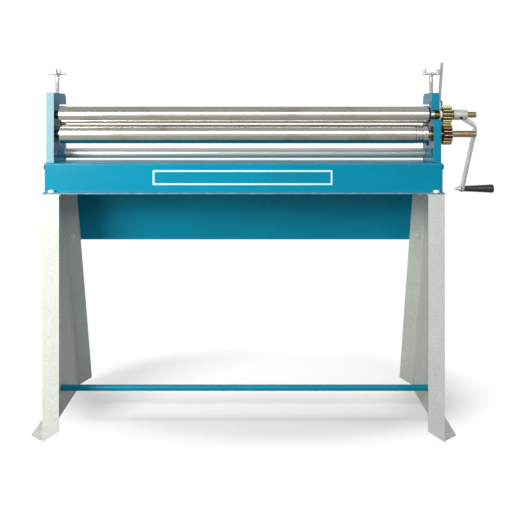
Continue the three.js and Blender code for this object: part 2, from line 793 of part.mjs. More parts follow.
function lowerRoll() {
  const end = lowerLength / 2;
  const grooves = [];
  let right = end - grooveInset;
  for (const width of [...grooveWidths].reverse()) {
    grooves.unshift(
      [right - width, lowerRadius], [right - width * 0.75, lowerRadius - grooveDepth],
      [right - width * 0.25, lowerRadius - grooveDepth], [right, lowerRadius]);
    right -= groovePitch;
  }
  return turnedX([
    [-journalEnd, 0], [-journalEnd, journalRadius], [-end, journalRadius],
    [-end, lowerRadius - rollChamfer], [-end + rollChamfer, lowerRadius],
    ...grooves,
    [end - rollChamfer, lowerRadius], [end, lowerRadius - rollChamfer],
    [end, journalRadius], [frameOuter, journalRadius], [frameOuter, lowerShaftRadius],
    [shaftEnd - shaftChamfer, lowerShaftRadius], [shaftEnd, lowerShaftRadius - shaftChamfer],
    [shaftEnd, 0],
  ]);
}

const blockSpan = (side) =>
  [side * frameMiddle - blockThickness / 2, side * frameMiddle + blockThickness / 2];

function lowerBlock(side) {
  const halfWidth = pinchBlockWidth / 2;
  const halfHeight = pinchBlockHeight / 2;
  const [start, end] = blockSpan(side);
  return cut(
    box([start, end], [-halfWidth, halfWidth], [-halfHeight, halfHeight]),
    bore('x', journalRadius, start - overcut, end + overcut));
}

function addLowerRoll(parent) {
  const axis = groupAt(parent, 0, pinchDepth, lowerAxis);
  place(axis, 'lower_roll', lowerRoll(), 'groundSteel');
  const gapUp = Math.PI / 2 + Math.PI / lowerTeeth;
  place(axis, 'lower_gear', gear(lowerTeeth, lowerTipRadius, lowerShaftRadius, gapUp), 'bronze');
  for (const [name, side] of sides) {
    place(axis, `${name}_lower_block`, lowerBlock(side), 'blackSteel');
    place(
      axis, `${name}_pinch_screw`,
      joined(
        bar('z', pinchScrewRadius, -pinchScrewLength - pinchScrewHead / 2, 0, 12),
        bar(
          'z', pinchScrewRadius * boltHeadScale,
          -pinchScrewLength - pinchScrewHead, -pinchScrewLength, 6)),
      'blackSteel', [side * frameMiddle, 0, pinchScrewTop - lowerAxis]);
  }
}

// Rear roll, hung from the two adjusting screws

function rearRoll() {
  const end = rearLength / 2;
  return turnedX([
    [-journalEnd, 0], [-journalEnd, journalRadius], [-end, journalRadius],
    [-end, rearRadius - rollChamfer], [-end + rollChamfer, rearRadius],
    [end - rollChamfer, rearRadius], [end, rearRadius - rollChamfer],
    [end, journalRadius], [journalEnd, journalRadius], [journalEnd, 0],
  ]);
}

function rearBlock(side) {
  const half = rearBlockWidth / 2;
  const middle = side * frameMiddle;
  const [start, end] = blockSpan(side);
  const pocket = screwCollarRadius + runningGap;
  const neck = screwNeckRadius + runningGap;
  const collarLevel = collarTop - rearAxis;
  return cut(
    box([start, end], [-half, half], [-rearBlockBelow, rearBlockAbove]),
    bore('x', journalRadius, start - overcut, end + overcut),
    box(
      [middle - pocket, end + overcut], [-pocket, pocket],
      [collarLevel - screwCollarHeight - seat, collarLevel + seat]),
    box(
      [middle - neck, end + overcut], [-neck, neck], [collarLevel, rearBlockAbove + overcut]));
}

function adjustingScrew() {
  const blockTop = rearAxis + rearBlockAbove;
  return joined(
    bar('z', screwCollarRadius, collarTop - screwCollarHeight, collarTop),
    bar('z', screwNeckRadius, collarTop - overcut, blockTop + 2 * overcut),
    bar('z', screwRadius, blockTop + overcut, screwTop),
    bar('z', spigotRadius, screwTop - overcut, screwTop + spigotLength, 12));
}

function screwHandle() {
  const barLevel = handleHubHeight + handleBarRadius;
  const reach = handleSpan / 2 - handleLugRadius;
  const lugs = [-reach, reach].map((x) =>
    bar('z', handleLugRadius, handleHubHeight, handleHubHeight + handleLugHeight, 14)
      .translate(x, 0, 0));
  return cut(
    joined(
      bar('z', handleHubRadius, 0, handleHubHeight + 2 * handleBarRadius, 20),
      bar('x', handleBarRadius, -reach, reach, 10).translate(0, 0, barLevel),
      bar('y', handleBarRadius, -handleSpan / 2, handleSpan / 2, 10).translate(0, 0, barLevel),
      ...lugs),
    bore('z', spigotRadius, -overcut, spigotLength + seat, 12));
}

function addRearRoll(parent) {
  const axis = groupAt(parent, 0, rearDepth, 0);
  place(axis, 'rear_roll', rearRoll(), 'groundSteel', [0, 0, rearAxis]);
  for (const [name, side] of sides) {
    place(axis, `${name}_rear_block`, rearBlock(side), 'blackSteel', [0, 0, rearAxis]);
    const screw = groupAt(axis, side * frameMiddle, 0, 0);
    place(screw, `${name}_adjusting_screw`, adjustingScrew(), 'paleZinc');
    place(
      screw, `${name}_screw_handle`, screwHandle(), 'paleZinc', [0, 0, screwTop + seat],
      new THREE.Euler(0, 0, side > 0 ? 0 : Math.PI / 2));
  }
}

// Release lever, whose cam holds the top roll's bush down in the open slot

function releaseLever() {
  const toAxis = new THREE.Vector2(pinchDepth, topAxis).sub(leverPivot);
  const camReach = toAxis.length() - slotJournalRadius - seat;
  const camAngle = Math.atan2(toAxis.y, toAxis.x) - Math.PI / 2;
  const hub = alongX(
    drop(leverHubRadius, camNoseRadius, camReach - camNoseRadius), 0, leverThickness)
    .rotateX(camAngle);
  const arm = alongX(
    drop(leverBarRadius, leverBarRadius, leverLength - leverBarRadius), 0, leverBarThickness)
    .rotateY(leverLean);
  const frameFace = box(
    [-leverThickness, 0], [-leverLength, leverLength], [-leverLength, leverLength]);
  return cut(
    joined(hub, arm),
    bore('x', pivotRadius, -overcut, leverThickness + overcut, 12),
    bar('x', pivotRadius * capHeadScale + seat, leverThickness, leverThickness + pivotHead, 16),
    frameFace);
}

function addReleaseLever(parent) {
  const pivot = groupAt(parent, frameOuter + seat, leverPivot.x, leverPivot.y);
  place(pivot, 'release_lever', releaseLever(), 'leverGrey');
  place(
    pivot, 'lever_pivot_bolt',
    capScrew(pivotRadius, pivotHead, leverThickness + frameThickness), 'blackSteel',
    [leverThickness + seat, 0, 0], headRight);
}

const machine = new THREE.Group();
addStand(machine);
addBed(machine);
for (const [name, side] of sides) {
  place(machine, `${name}_end_frame`, endFrame(side), 'bluePaint');
}
addTopRoll(machine);
addLowerRoll(machine);
addRearRoll(machine);
addReleaseLever(machine);

// The frame's origin is the bottom centre of the whole machine's bounds
machine.updateMatrixWorld(true);
const bounds = new THREE.Box3().setFromObject(machine, true);
const centre = bounds.getCenter(new THREE.Vector3());
machine.position.set(-centre.x, -centre.y, -bounds.min.z);

export default machine;
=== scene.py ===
"""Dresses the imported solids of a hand-cranked slip roll with their real shapes and finishes."""

import math

import bmesh
import bpy
from bpy.props import FloatProperty, FloatVectorProperty, IntProperty, PointerProperty
from mathutils import Matrix, Vector


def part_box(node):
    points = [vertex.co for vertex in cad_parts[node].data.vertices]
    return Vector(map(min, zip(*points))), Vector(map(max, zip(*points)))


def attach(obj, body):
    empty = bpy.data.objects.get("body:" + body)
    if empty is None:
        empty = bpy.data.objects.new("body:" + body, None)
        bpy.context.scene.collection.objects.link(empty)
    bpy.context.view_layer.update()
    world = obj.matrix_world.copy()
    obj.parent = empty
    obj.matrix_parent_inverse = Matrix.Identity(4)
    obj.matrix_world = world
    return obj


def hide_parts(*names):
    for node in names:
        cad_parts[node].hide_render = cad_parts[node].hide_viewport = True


bl_info = {
    "name": "Slip roll dressing",
    "version": (1, 0, 0),
    "blender": (4, 5, 0),
    "location": "View3D > Sidebar > Slip roll",
    "description": "Puts the real shapes and finishes of a slip roll on its packed solids",
    "category": "Object",
}

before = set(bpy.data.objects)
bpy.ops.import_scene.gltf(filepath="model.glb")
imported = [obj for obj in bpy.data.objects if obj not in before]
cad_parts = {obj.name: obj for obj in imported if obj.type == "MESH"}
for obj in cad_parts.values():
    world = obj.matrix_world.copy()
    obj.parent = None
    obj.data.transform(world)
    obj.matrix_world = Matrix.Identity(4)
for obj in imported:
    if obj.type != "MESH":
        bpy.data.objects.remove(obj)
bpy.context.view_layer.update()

MM = 0.001
SIDES = ("left", "right")
OUTWARDS = {"left": Vector((-1, 0, 0)), "right": Vector((1, 0, 0))}
# Points nearer to each other than WELD are one, and edges that turn by more than SHARP are broken.
WELD = 0.01 * MM
SHARP = math.radians(32)
# The corners of a hexagon lie this many times as far out as its thread.
HEXAGON = 1.9


def linear(hex_colour):
    """An sRGB hex colour as linear red, green, blue and alpha."""
    channels = [int(hex_colour[i:i + 2], 16) / 255 for i in (1, 3, 5)]
    return tuple(c / 12.92 if c <= 0.04045 else ((c + 0.055) / 1.055) ** 2.4 for c in channels) + (1.0,)


# Properties that a user would change


def colour_property(name, description, hex_colour):
    return FloatVectorProperty(
        name=name, description=description, default=linear(hex_colour), size=4, subtype="COLOR",
        min=0.0, max=1.0)


def length_property(name, description, millimetres):
    return FloatProperty(
        name=name, description=description, default=millimetres * MM, min=0.0, unit="LENGTH", precision=5)


class SlipRollSizes(bpy.types.PropertyGroup):
    """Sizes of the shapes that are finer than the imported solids."""

    fold_radius: length_property("Fold radius", "Outside radius of the folds in the bed and legs", 6.5)
    sheet_edge: length_property("Sheet edge", "Width of the broken edge of sheets and plates", 0.5)
    frame_edge: length_property("Frame edge", "Width of the broken edge of the end frames", 1.0)
    turned_corner: length_property("Turned corner", "Radius on the corners of turned pieces", 0.8)
    roll_sides: IntProperty(
        name="Roll sides", description="Faces round each roll", default=128, min=24, max=256)
    tooth_chamfer: length_property("Tooth chamfer", "Chamfer on the ends of the gear teeth", 1.6)
    screw_pitch: length_property("Screw pitch", "Thread pitch of the adjusting screws", 2.5)
    thread_depth: length_property("Thread depth", "Depth of the adjusting screws' thread", 1.0)
    label_line: length_property("Label line", "Width of the printed line round the bare label", 6.0)
    handle_grain: length_property("Casting step", "Voxel size that the cast handles are fused with", 0.8)


class SlipRollColours(bpy.types.PropertyGroup):
    """Colours of the finishes."""

    bed_enamel: colour_property("Bed enamel", "Blue enamel of the bed, frames and panel", "#0088A9")
    leg_enamel: colour_property("Leg enamel", "Pale grey enamel of the legs", "#D7DBD9")
    roll_steel: colour_property("Roll steel", "Ground steel of the rolls", "#D4D2CB")
    bar_steel: colour_property("Bar steel", "Drawn steel of the tie bar", "#E4E4DE")
    upper_gear: colour_property("Upper gear", "Yellow zinc plating of the upper gear", "#ECE4B4")
    lower_gear: colour_property("Lower gear", "Yellow zinc plating of the lower gear", "#B8924E")
    hub_paint: colour_property("Hub plating", "Pale plating of the hub and cast handles", "#CDD1C6")
    zinc_plating: colour_property("Zinc plating", "Bright zinc of the crank arm and bolts", "#F8F9FA")
    grip_moulding: colour_property("Grip", "Moulded plastic of the crank's grip", "#22241C")
    label_ink: colour_property("Label ink", "Printed line of the bare label", "#C4EEFA")


def sizes():
    return bpy.context.scene.slip_roll_sizes


def colours():
    return bpy.context.scene.slip_roll_colours


# Finishes


def add_node(tree, kind, inputs=None, **settings):
    """Adds a node with its settings. An input is given a value, or what feeds it: a socket, a node
    for its first output, or a list of those."""
    made = tree.nodes.new(kind)
    for name, value in settings.items():
        setattr(made, name, value)
    for key, given in (inputs or {}).items():
        for source in given if isinstance(given, list) else [given]:
            if isinstance(source, bpy.types.Node):
                source = source.outputs[0]
            if isinstance(source, bpy.types.NodeSocket):
                tree.links.new(source, made.inputs[key])
            else:
                made.inputs[key].default_value = source
    return made


def empty_tree(owner):
    """The node tree of a new material or world, with nothing in it."""
    owner.use_nodes = True
    owner.node_tree.nodes.clear()
    return owner.node_tree


def darker(colour, share):
    return tuple(c * share for c in colour[:3]) + (1.0,)


def finish(name, colour, shade, roughness, patch_mm, grain_mm, grain_tint, grain_depth_mm=0.02,
           metallic=0.0, over=None, **shader_values):
    """A finish of one real material: patches vary its colour and gloss, a finer grain its tone and
    relief. over, where it is given, yields shares, each with the colour to lay over the others."""
    if name in bpy.data.materials:
        return bpy.data.materials[name]
    material = bpy.data.materials.new(name)
    tree = empty_tree(material)
    place = add_node(tree, "ShaderNodeTexCoord").outputs["Object"]
    noises = []
    # A grain too fine to show in a render is drawn coarser, about a millimetre wide or more.
    for size_mm, detail in ((patch_mm, 4.0), (grain_mm, 3.0)):
        scaled = add_node(
            tree, "ShaderNodeMapping", {"Vector": place, "Scale": tuple(1000 / s for s in size_mm)})
        noise = add_node(
            tree, "ShaderNodeTexNoise", {"Vector": scaled, "Scale": 1.0, "Detail": detail})
        noises.append(noise.outputs["Fac"])
    patches, grain = noises
    patch_share = add_node(
        tree, "ShaderNodeMapRange", {"Value": patches, "From Min": 0.35, "From Max": 0.65})
    grain_share = add_node(
        tree, "ShaderNodeMapRange",
        {"Value": grain, "From Min": 0.3, "From Max": 0.7, "To Max": grain_tint})
    gloss = add_node(
        tree, "ShaderNodeMapRange",
        {"Value": patches, "From Min": 0.3, "From Max": 0.7,
         "To Min": roughness[0], "To Max": roughness[1]})
    relief = add_node(
        tree, "ShaderNodeBump",
        {"Height": grain, "Strength": 1.0, "Distance": grain_depth_mm * MM})
    layers = [
        (patch_share, darker(colour, shade)), (grain_share, darker(colour, shade * shade))]
    if over:
        layers += over(tree, place)
    base = tuple(colour)
    for share, second in layers:
        base = add_node(
            tree, "ShaderNodeMix", {0: share, 6: base, 7: second}, data_type="RGBA").outputs[2]
    shader = add_node(
        tree, "ShaderNodeBsdfPrincipled",
        {"Base Color": base, "Metallic": metallic, "Roughness": gloss,
         "Normal": relief, **shader_values})
    add_node(tree, "ShaderNodeOutputMaterial", {"Surface": shader})
    return material


def radius_about(tree, place, axis, height_share=1.0):
    """The distance from an axis along X, with heights counted at a share of their size."""
    flat = add_node(
        tree, "ShaderNodeMapping",
        {"Vector": place, "Location": (0.0, -axis.y, -height_share * axis.z),
         "Scale": (0.0, 1.0, height_share)})
    return add_node(
        tree, "ShaderNodeVectorMath", {0: flat}, operation="LENGTH").outputs["Value"]


def bed_enamel(name="sprayed_gloss_enamel", specular=0.16, over=None):
    """Gloss alkyd enamel sprayed on steel sheet: a deep even blue with a faint orange peel."""
    return finish(
        name, colours().bed_enamel, shade=0.88, roughness=(0.18, 0.28),
        patch_mm=(180, 120, 90), grain_mm=(2.6, 2.6, 2.6), grain_depth_mm=0.03, grain_tint=0.2,
        over=over, **{"Specular IOR Level": specular})


def frame_enamel(side):
    """Enamel of an end frame: painted shade darkens its flat sides round the rolls' bearings. Years of sun
    have dulled the left frame, and a painted highlight makes its front pale."""
    # The painted shade is taller than it is deep, and wider on the frame away from the gears.
    painted_shade_reach = {"left": 105 * MM, "right": 62 * MM}[side]

    def aged(tree, place):
        facing = add_node(
            tree, "ShaderNodeSeparateXYZ",
            {0: add_node(tree, "ShaderNodeNewGeometry").outputs["Normal"]})
        axis = (middle("top_roll") + middle("lower_roll")) / 2
        # Painted shade, strongest near the rolls' axis, on faces that look sideways.
        oil = add_node(
            tree, "ShaderNodeMapRange",
            {"Value": radius_about(tree, place, axis, 0.7), "From Min": 28 * MM, "From Max": painted_shade_reach,
             "To Min": 0.85, "To Max": 0.0})
        sideways = add_node(tree, "ShaderNodeMath", {0: facing.outputs["X"]}, operation="ABSOLUTE")
        painted_side_shade = add_node(tree, "ShaderNodeMath", {0: oil, 1: sideways}, operation="MULTIPLY")
        yield painted_side_shade, linear("#06232B")
        if side == "left":
            # A painted highlight pales the left frame's forward faces.
            painted_front_highlight = add_node(
                tree, "ShaderNodeMapRange",
                {"Value": facing.outputs["Y"], "From Min": -0.6, "From Max": -0.95, "To Max": 0.95})
            yield painted_front_highlight, linear("#8AB0BF")

    return bed_enamel(f"gloss_enamel_of_{side}_frame", 0.05 if side == "left" else 0.28, aged)


def worn_bed_edge():
    """The same enamel where it thins over an edge: paler, and duller from handling. On the bed's lip the
    same paler finish is a painted highlight.
    """
    blue = colours().bed_enamel
    pale = tuple(0.75 * c + 0.25 * p for c, p in zip(blue, linear("#BFE3EE")))
    return finish(
        "enamel_thinned_over_edges", pale, shade=0.6, roughness=(0.3, 0.45),
        patch_mm=(25, 25, 25), grain_mm=(3, 3, 3), grain_tint=0.4, **{"Specular IOR Level": 0.35})


def leg_enamel():
    """Hammer-finish stoving enamel on folded sheet: pale grey with a close pebbled relief."""
    cell_mm = 6.5

    def hammered(tree, place):
        # Cells lie between darker seams, and are drawn coarse enough to show.
        cells = add_node(tree, "ShaderNodeTexVoronoi", {"Vector": place, "Scale": 1000 / cell_mm})
        seam = add_node(
            tree, "ShaderNodeMapRange",
            {"Value": cells.outputs["Distance"], "From Min": 0.3, "From Max": 0.75, "To Max": 0.32})
        yield seam, linear("#AEB3A2")

    return finish(
        "hammered_stoving_enamel", colours().leg_enamel, shade=0.9, roughness=(0.36, 0.5),
        patch_mm=(90, 90, 140), grain_mm=(5, 5, 5), grain_depth_mm=0.1, grain_tint=0.45,
        over=hammered, IOR=1.5)


def worn_leg_edge():
    """Stoving enamel rubbed thin on a sheet's edge: pale, with bare steel starting to show."""
    return finish(
        "enamel_rubbed_on_sheet_edges", linear("#DADFDC"), shade=0.72, roughness=(0.4, 0.55),
        patch_mm=(20, 20, 20), grain_mm=(2, 2, 2), grain_tint=0.3, IOR=1.5)


def roll_steel():
    """Centreless ground steel: fine rings from the wheel, crossed by faint oily streaks."""
    film_mm = (95, 26, 26)

    def oiled(tree, place):
        # Light oil leaves brownish films a hand wide, drawn along the rolls by the sheet.
        stretched = add_node(
            tree, "ShaderNodeMapping", {"Vector": place, "Scale": tuple(1000 / s for s in film_mm)})
        film = add_node(
            tree, "ShaderNodeTexNoise", {"Vector": stretched, "Scale": 1.0, "Detail": 5.0})
        share = add_node(
            tree, "ShaderNodeMapRange",
            {"Value": film.outputs["Fac"], "From Min": 0.52, "From Max": 0.75, "To Max": 0.5})
        yield share, linear("#A8946F")

    return finish(
        "ground_roll_steel", colours().roll_steel, shade=0.86, metallic=1.0, roughness=(0.13, 0.24),
        patch_mm=(260, 18, 18), grain_mm=(1.6, 60, 60), grain_depth_mm=0.006, grain_tint=0.12,
        over=oiled)


def bar_steel():
    """Bright drawn bar: satin, with lines along its length and a faintly warm tone."""
    return finish(
        "bright_drawn_bar", colours().bar_steel, shade=0.88, metallic=0.7, roughness=(0.36, 0.46),
        patch_mm=(150, 20, 20), grain_mm=(90, 1.2, 1.2), grain_depth_mm=0.01, grain_tint=0.12)


def gear_plating(name, colour, root, tip, axis):
    """Yellow passivated zinc on cut steel teeth: gold, with painted shade down in the gaps and a painted
    highlight on the tips.
    """

    def run_in(tree, place):
        radius = radius_about(tree, place, axis)
        # Painted shade darkens the teeth below their tips and down into the gaps.
        painted_shade = add_node(
            tree, "ShaderNodeMapRange",
            {"Value": radius, "From Min": root + 1.5 * MM, "From Max": tip - 2.5 * MM,
             "To Min": 0.88, "To Max": 0.0})
        yield painted_shade, linear("#3A2209")
        # A painted highlight lightens the tips of the teeth.
        rubbed = add_node(
            tree, "ShaderNodeMapRange",
            {"Value": radius, "From Min": tip - 1.2 * MM, "From Max": tip, "To Max": 0.7})
        yield rubbed, linear("#F0ECC8")

    return finish(
        name, colour, shade=0.62, metallic=1.0, roughness=(0.26, 0.42),
        patch_mm=(9, 9, 9), grain_mm=(30, 1.4, 1.4), grain_depth_mm=0.03, grain_tint=0.3, over=run_in)


def shaft_plating():
    """Turned shaft under a film of old oil: bronze brown, with the tool's fine rings."""
    return finish(
        "oiled_turned_shaft", linear("#CBAE80"), shade=0.55, metallic=1.0, roughness=(0.25, 0.4),
        patch_mm=(22, 14, 14), grain_mm=(1.2, 40, 40), grain_depth_mm=0.015, grain_tint=0.3)


def hub_plating():
    """Iron casting under zinc: pale grey green with a fine sand grain."""
    return finish(
        "zinc_plated_casting", colours().hub_paint, shade=0.8, metallic=0.55, roughness=(0.42, 0.55),
        patch_mm=(14, 14, 14), grain_mm=(1.3, 1.3, 1.3), grain_depth_mm=0.08, grain_tint=0.35)


def zinc_plating():
    """Bright zinc on rolled bar: silvery with clouds a centimetre or two wide."""
    return finish(
        "bright_zinc_plate", colours().zinc_plating, shade=0.84, metallic=0.55, roughness=(0.3, 0.44),
        patch_mm=(16, 16, 30), grain_mm=(1.1, 1.1, 14), grain_depth_mm=0.02, grain_tint=0.2)


def lever_enamel():
    """Silver-grey paint on a cast lever: slightly metallic, with a brushed-on grain."""
    return finish(
        "aluminium_paint_on_casting", linear("#A2A6B0"), shade=0.82, metallic=0.4,
        roughness=(0.36, 0.5), patch_mm=(18, 18, 40), grain_mm=(1.5, 1.5, 9), grain_depth_mm=0.05,
        grain_tint=0.3)


def black_oxide():
    """Black oxide on machined steel: near black with brown bloom and a satin gloss. On the top roll's
    collar the same black is painted shade.
    """
    return finish(
        "black_oxide_steel", linear("#2B2C2F"), shade=0.7, metallic=0.6, roughness=(0.34, 0.5),
        patch_mm=(12, 12, 12), grain_mm=(1, 6, 6), grain_depth_mm=0.02, grain_tint=0.35)


def turned_nylon():
    """Turned nylon: milky white, with faint tool rings."""
    return finish(
        "turned_nylon", linear("#ECEBE4"), shade=0.92, roughness=(0.38, 0.5), patch_mm=(12, 12, 12),
        grain_mm=(0.9, 30, 30), grain_depth_mm=0.03, grain_tint=0.1, IOR=1.53)


def bush_bronze():
    """Cast bronze bush: warm brown yellow, with a near-black painted shadow over its upper part."""
    level = middle("right_top_bush").z + 4 * MM

    def greased(tree, place):
        height = add_node(tree, "ShaderNodeSeparateXYZ", {0: place}).outputs["Z"]
        # A near-black painted shadow covers the bush from a little above its middle.
        painted_shade = add_node(
            tree, "ShaderNodeMapRange",
            {"Value": height, "From Min": level, "From Max": level + 2 * MM, "To Max": 0.95})
        yield painted_shade, linear("#12100C")

    return finish(
        "cast_bronze_bush", linear("#A37B3E"), shade=0.6, metallic=1.0, roughness=(0.3, 0.45),
        patch_mm=(10, 10, 10), grain_mm=(0.9, 30, 30), grain_depth_mm=0.02, grain_tint=0.3,
        over=greased)


def grip_moulding():
    """Compression-moulded phenolic: dark green black, glossy where hands have polished it."""
    return finish(
        "moulded_phenolic_grip", colours().grip_moulding, shade=0.75, roughness=(0.2, 0.36),
        patch_mm=(30, 12, 12), grain_mm=(1.6, 1.6, 1.6), grain_depth_mm=0.04, grain_tint=0.3, IOR=1.6)


def label_ink():
    """Screen-printed vinyl ink: a flat near-white film with a slight mottle."""
    return finish(
        "screen_printed_ink", colours().label_ink, shade=0.9, roughness=(0.4, 0.5),
        patch_mm=(40, 40, 20), grain_mm=(1.5, 1.5, 1.5), grain_depth_mm=0.01, grain_tint=0.12, IOR=1.5)


# Shapes


def new_object(name, data):
    made = bpy.data.objects.new(name, data)
    bpy.context.scene.collection.objects.link(made)
    return made


def piece(name, mesh, body, finishes, replaced, slot):
    """Makes a mesh a piece of the object: it rides on a body and stands for the replaced nodes."""
    mesh.name = name
    finish_of_face = [face.material_index for face in mesh.polygons]
    mesh.materials.clear()
    for material in finishes:
        mesh.materials.append(material)
    mesh.polygons.foreach_set("material_index", finish_of_face)
    mesh.polygons.foreach_set("use_smooth", [True] * len(mesh.polygons))
    mesh.set_sharp_from_angle(angle=math.radians(50))
    made = new_object(name, mesh)
    evened = made.modifiers.new("Even normals", "WEIGHTED_NORMAL")
    evened.keep_sharp = True
    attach(made, body)
    if replaced:
        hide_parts(*replaced)


def to_mesh(shape):
    """Closes a bmesh into a mesh whose faces point outwards."""
    bmesh.ops.remove_doubles(shape, verts=shape.verts, dist=WELD / 10)
    bmesh.ops.recalc_face_normals(shape, faces=shape.faces)
    mesh = bpy.data.meshes.new("shape")
    shape.to_mesh(mesh)
    shape.free()
    return mesh


def joined(meshes):
    shape = bmesh.new()
    for mesh in meshes:
        shape.from_mesh(mesh)
        bpy.data.meshes.remove(mesh)
    made = bpy.data.meshes.new("joined")
    shape.to_mesh(made)
    shape.free()
    return made


def filleted(profile, radius, steps=4):
    """A line of points with its inner corners rounded."""
    points = [Vector(p) for p in profile]
    made = [points[0]]
    for before, corner, after in zip(points, points[1:], points[2:]):
        back, ahead = before - corner, after - corner
        # The fillets at the two ends of a short line don't meet.
        reach = min(radius, back.length * 0.45, ahead.length * 0.45)
        start = corner + back.normalized() * reach
        end = corner + ahead.normalized() * reach
        for step in range(steps + 1):
            t = step / steps
            made.append(start * (1 - t) ** 2 + corner * 2 * t * (1 - t) + end * t * t)
    made.append(points[-1])
    return made


TURNS = {
    "X": Matrix.Identity(4),
    "Y": Matrix.Rotation(math.radians(90), 4, "Z"),
    "Z": Matrix.Rotation(math.radians(-90), 4, "Y"),
}


def turned(profile, centre=(0, 0, 0), axis="X", sides=48, ring=False):
    """A solid turned round an axis, from points of distance along it and radius. The points of a
    ring close round its bore."""
    shape = bmesh.new()
    angles = [2 * math.pi * i / sides for i in range(sides)]
    rows = []
    for along, radius in profile:
        around = angles if radius > WELD / 10 else angles[:1]
        rows.append([
            shape.verts.new((along, radius * math.cos(a), radius * math.sin(a))) for a in around])
    pairs = list(zip(rows, rows[1:]))
    if ring:
        pairs.append((rows[-1], rows[0]))
    for one, two in pairs:
        for i in range(sides):
            j = (i + 1) % sides
            corners = [one[i % len(one)], one[j % len(one)], two[j % len(two)], two[i % len(two)]]
            corners = list(dict.fromkeys(corners))
            if len(corners) > 2:
                shape.faces.new(corners)
    mesh = to_mesh(shape)
    mesh.transform(Matrix.Translation(centre) @ TURNS[axis])
    return mesh


def softened(node, edge, sheet=0.0, fold=0.0, edge_steps=2):
    """A copy of a node's mesh with its sheet folds rounded and its sharp edges broken.
    The faces of the broken edges take the second finish."""
    shape = bmesh.new()
    shape.from_mesh(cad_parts[node].data)
    bmesh.ops.remove_doubles(shape, verts=shape.verts, dist=WELD)
    bmesh.ops.dissolve_limit(
        shape, angle_limit=math.radians(0.5), verts=shape.verts, edges=shape.edges)
    # The U-shaped ends of folded sheet are split into convex faces.
    bmesh.ops.connect_verts_concave(shape, faces=shape.faces)
    # A fold is a long edge between two wide faces, and its outside has the larger radius.
    for radius, sign in ((fold, 1), (fold - sheet, -1)) if sheet else ():
        folds = [
            e for e in shape.edges
            if len(e.link_faces) == 2 and e.calc_length() > 2 * sheet
            and sign * e.calc_face_angle_signed(0.0) > math.radians(20)
            and min(f.calc_area() / e.calc_length() for f in e.link_faces) > 2.2 * sheet]
        if folds and radius > 0:
            bmesh.ops.bevel(
                shape, geom=folds, offset=radius, segments=5, profile=0.5, affect="EDGES",
                clamp_overlap=True)
    sharp = [
        e for e in shape.edges
        if len(e.link_faces) == 2 and abs(e.calc_face_angle_signed(0.0)) > SHARP]
    if sharp and edge > 0:
        bmesh.ops.bevel(
            shape, geom=sharp, offset=edge, segments=edge_steps, profile=0.5, affect="EDGES",
            clamp_overlap=True, material=1)
    return to_mesh(shape)


def middle(node):
    low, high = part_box(node)
    return (low + high) / 2


def half_size(node):
    low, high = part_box(node)
    return (high - low) / 2


def foot_of(node):
    """The middle of a node's underside."""
    return Vector((middle(node).x, middle(node).y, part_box(node)[0].z))


def rod(start, end, radius):
    """The profile of a plain rod between two distances along its axis."""
    return [(start, 0), (start, radius), (end, radius), (end, 0)]


def add_bar(node, name, material, slot, sides=48):
    """A round bar across the machine, with rounded ends."""
    half = half_size(node)
    profile = filleted(rod(-half.x, half.x, half.z), sizes().turned_corner)
    piece(name, turned(profile, middle(node), sides=sides), "machine", [material], [node], slot)


def head_of(node, direction):
    """The middle of a fastener's end face on the side that direction points to."""
    corners = {tuple(round(c, 6) for c in v.co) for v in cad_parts[node].data.vertices}
    corners = [Vector(c) for c in corners]
    centre = sum(corners, Vector()) / len(corners)
    top = max(c.dot(direction) for c in corners)
    return centre + direction * (top - centre.dot(direction))


# Geometry Nodes for what repeats


def start_tree(name, inputs):
    """A Geometry Nodes tree with the name of its function, a geometry input, named inputs and a
    geometry output."""
    tree = bpy.data.node_groups.new(name, "GeometryNodeTree")
    tree.interface.new_socket("Geometry", in_out="INPUT", socket_type="NodeSocketGeometry")
    for label, kind in inputs.items():
        tree.interface.new_socket(label, in_out="INPUT", socket_type=kind)
    tree.interface.new_socket("Geometry", in_out="OUTPUT", socket_type="NodeSocketGeometry")
    return tree, add_node(tree, "NodeGroupInput")


def end_tree(tree, source, geometry):
    """Ends a tree in Realize Instances and Set Material."""
    real = add_node(tree, "GeometryNodeRealizeInstances", {"Geometry": geometry})
    dressed = add_node(
        tree, "GeometryNodeSetMaterial",
        {"Geometry": real, "Material": source.outputs["Material"]})
    add_node(tree, "NodeGroupOutput", {"Geometry": dressed})


def teeth_tree():
    """Turns copies of one tooth's slice round the X axis and closes them into a gear."""
    tree, source = start_tree("teeth_tree", {
        "Teeth": "NodeSocketInt", "Merge distance": "NodeSocketFloat", "Material": "NodeSocketMaterial"})
    spots = add_node(
        tree, "GeometryNodeMeshLine",
        {"Count": source.outputs["Teeth"], "Offset": (0.0, 0.0, 0.0)}, mode="OFFSET")
    index = add_node(tree, "GeometryNodeInputIndex")
    part = add_node(
        tree, "ShaderNodeMath", {0: index, 1: source.outputs["Teeth"]}, operation="DIVIDE")
    angle = add_node(tree, "ShaderNodeMath", {0: part, 1: 2 * math.pi}, operation="MULTIPLY")
    euler = add_node(tree, "ShaderNodeCombineXYZ", {"X": angle})
    turn = add_node(tree, "FunctionNodeEulerToRotation", {0: euler})
    copies = add_node(
        tree, "GeometryNodeInstanceOnPoints",
        {"Points": spots, "Instance": source.outputs["Geometry"], "Rotation": turn})
    real = add_node(tree, "GeometryNodeRealizeInstances", {"Geometry": copies})
    closed = add_node(
        tree, "GeometryNodeMergeByDistance",
        {"Geometry": real, "Distance": source.outputs["Merge distance"]})
    end_tree(tree, source, closed)
    return tree


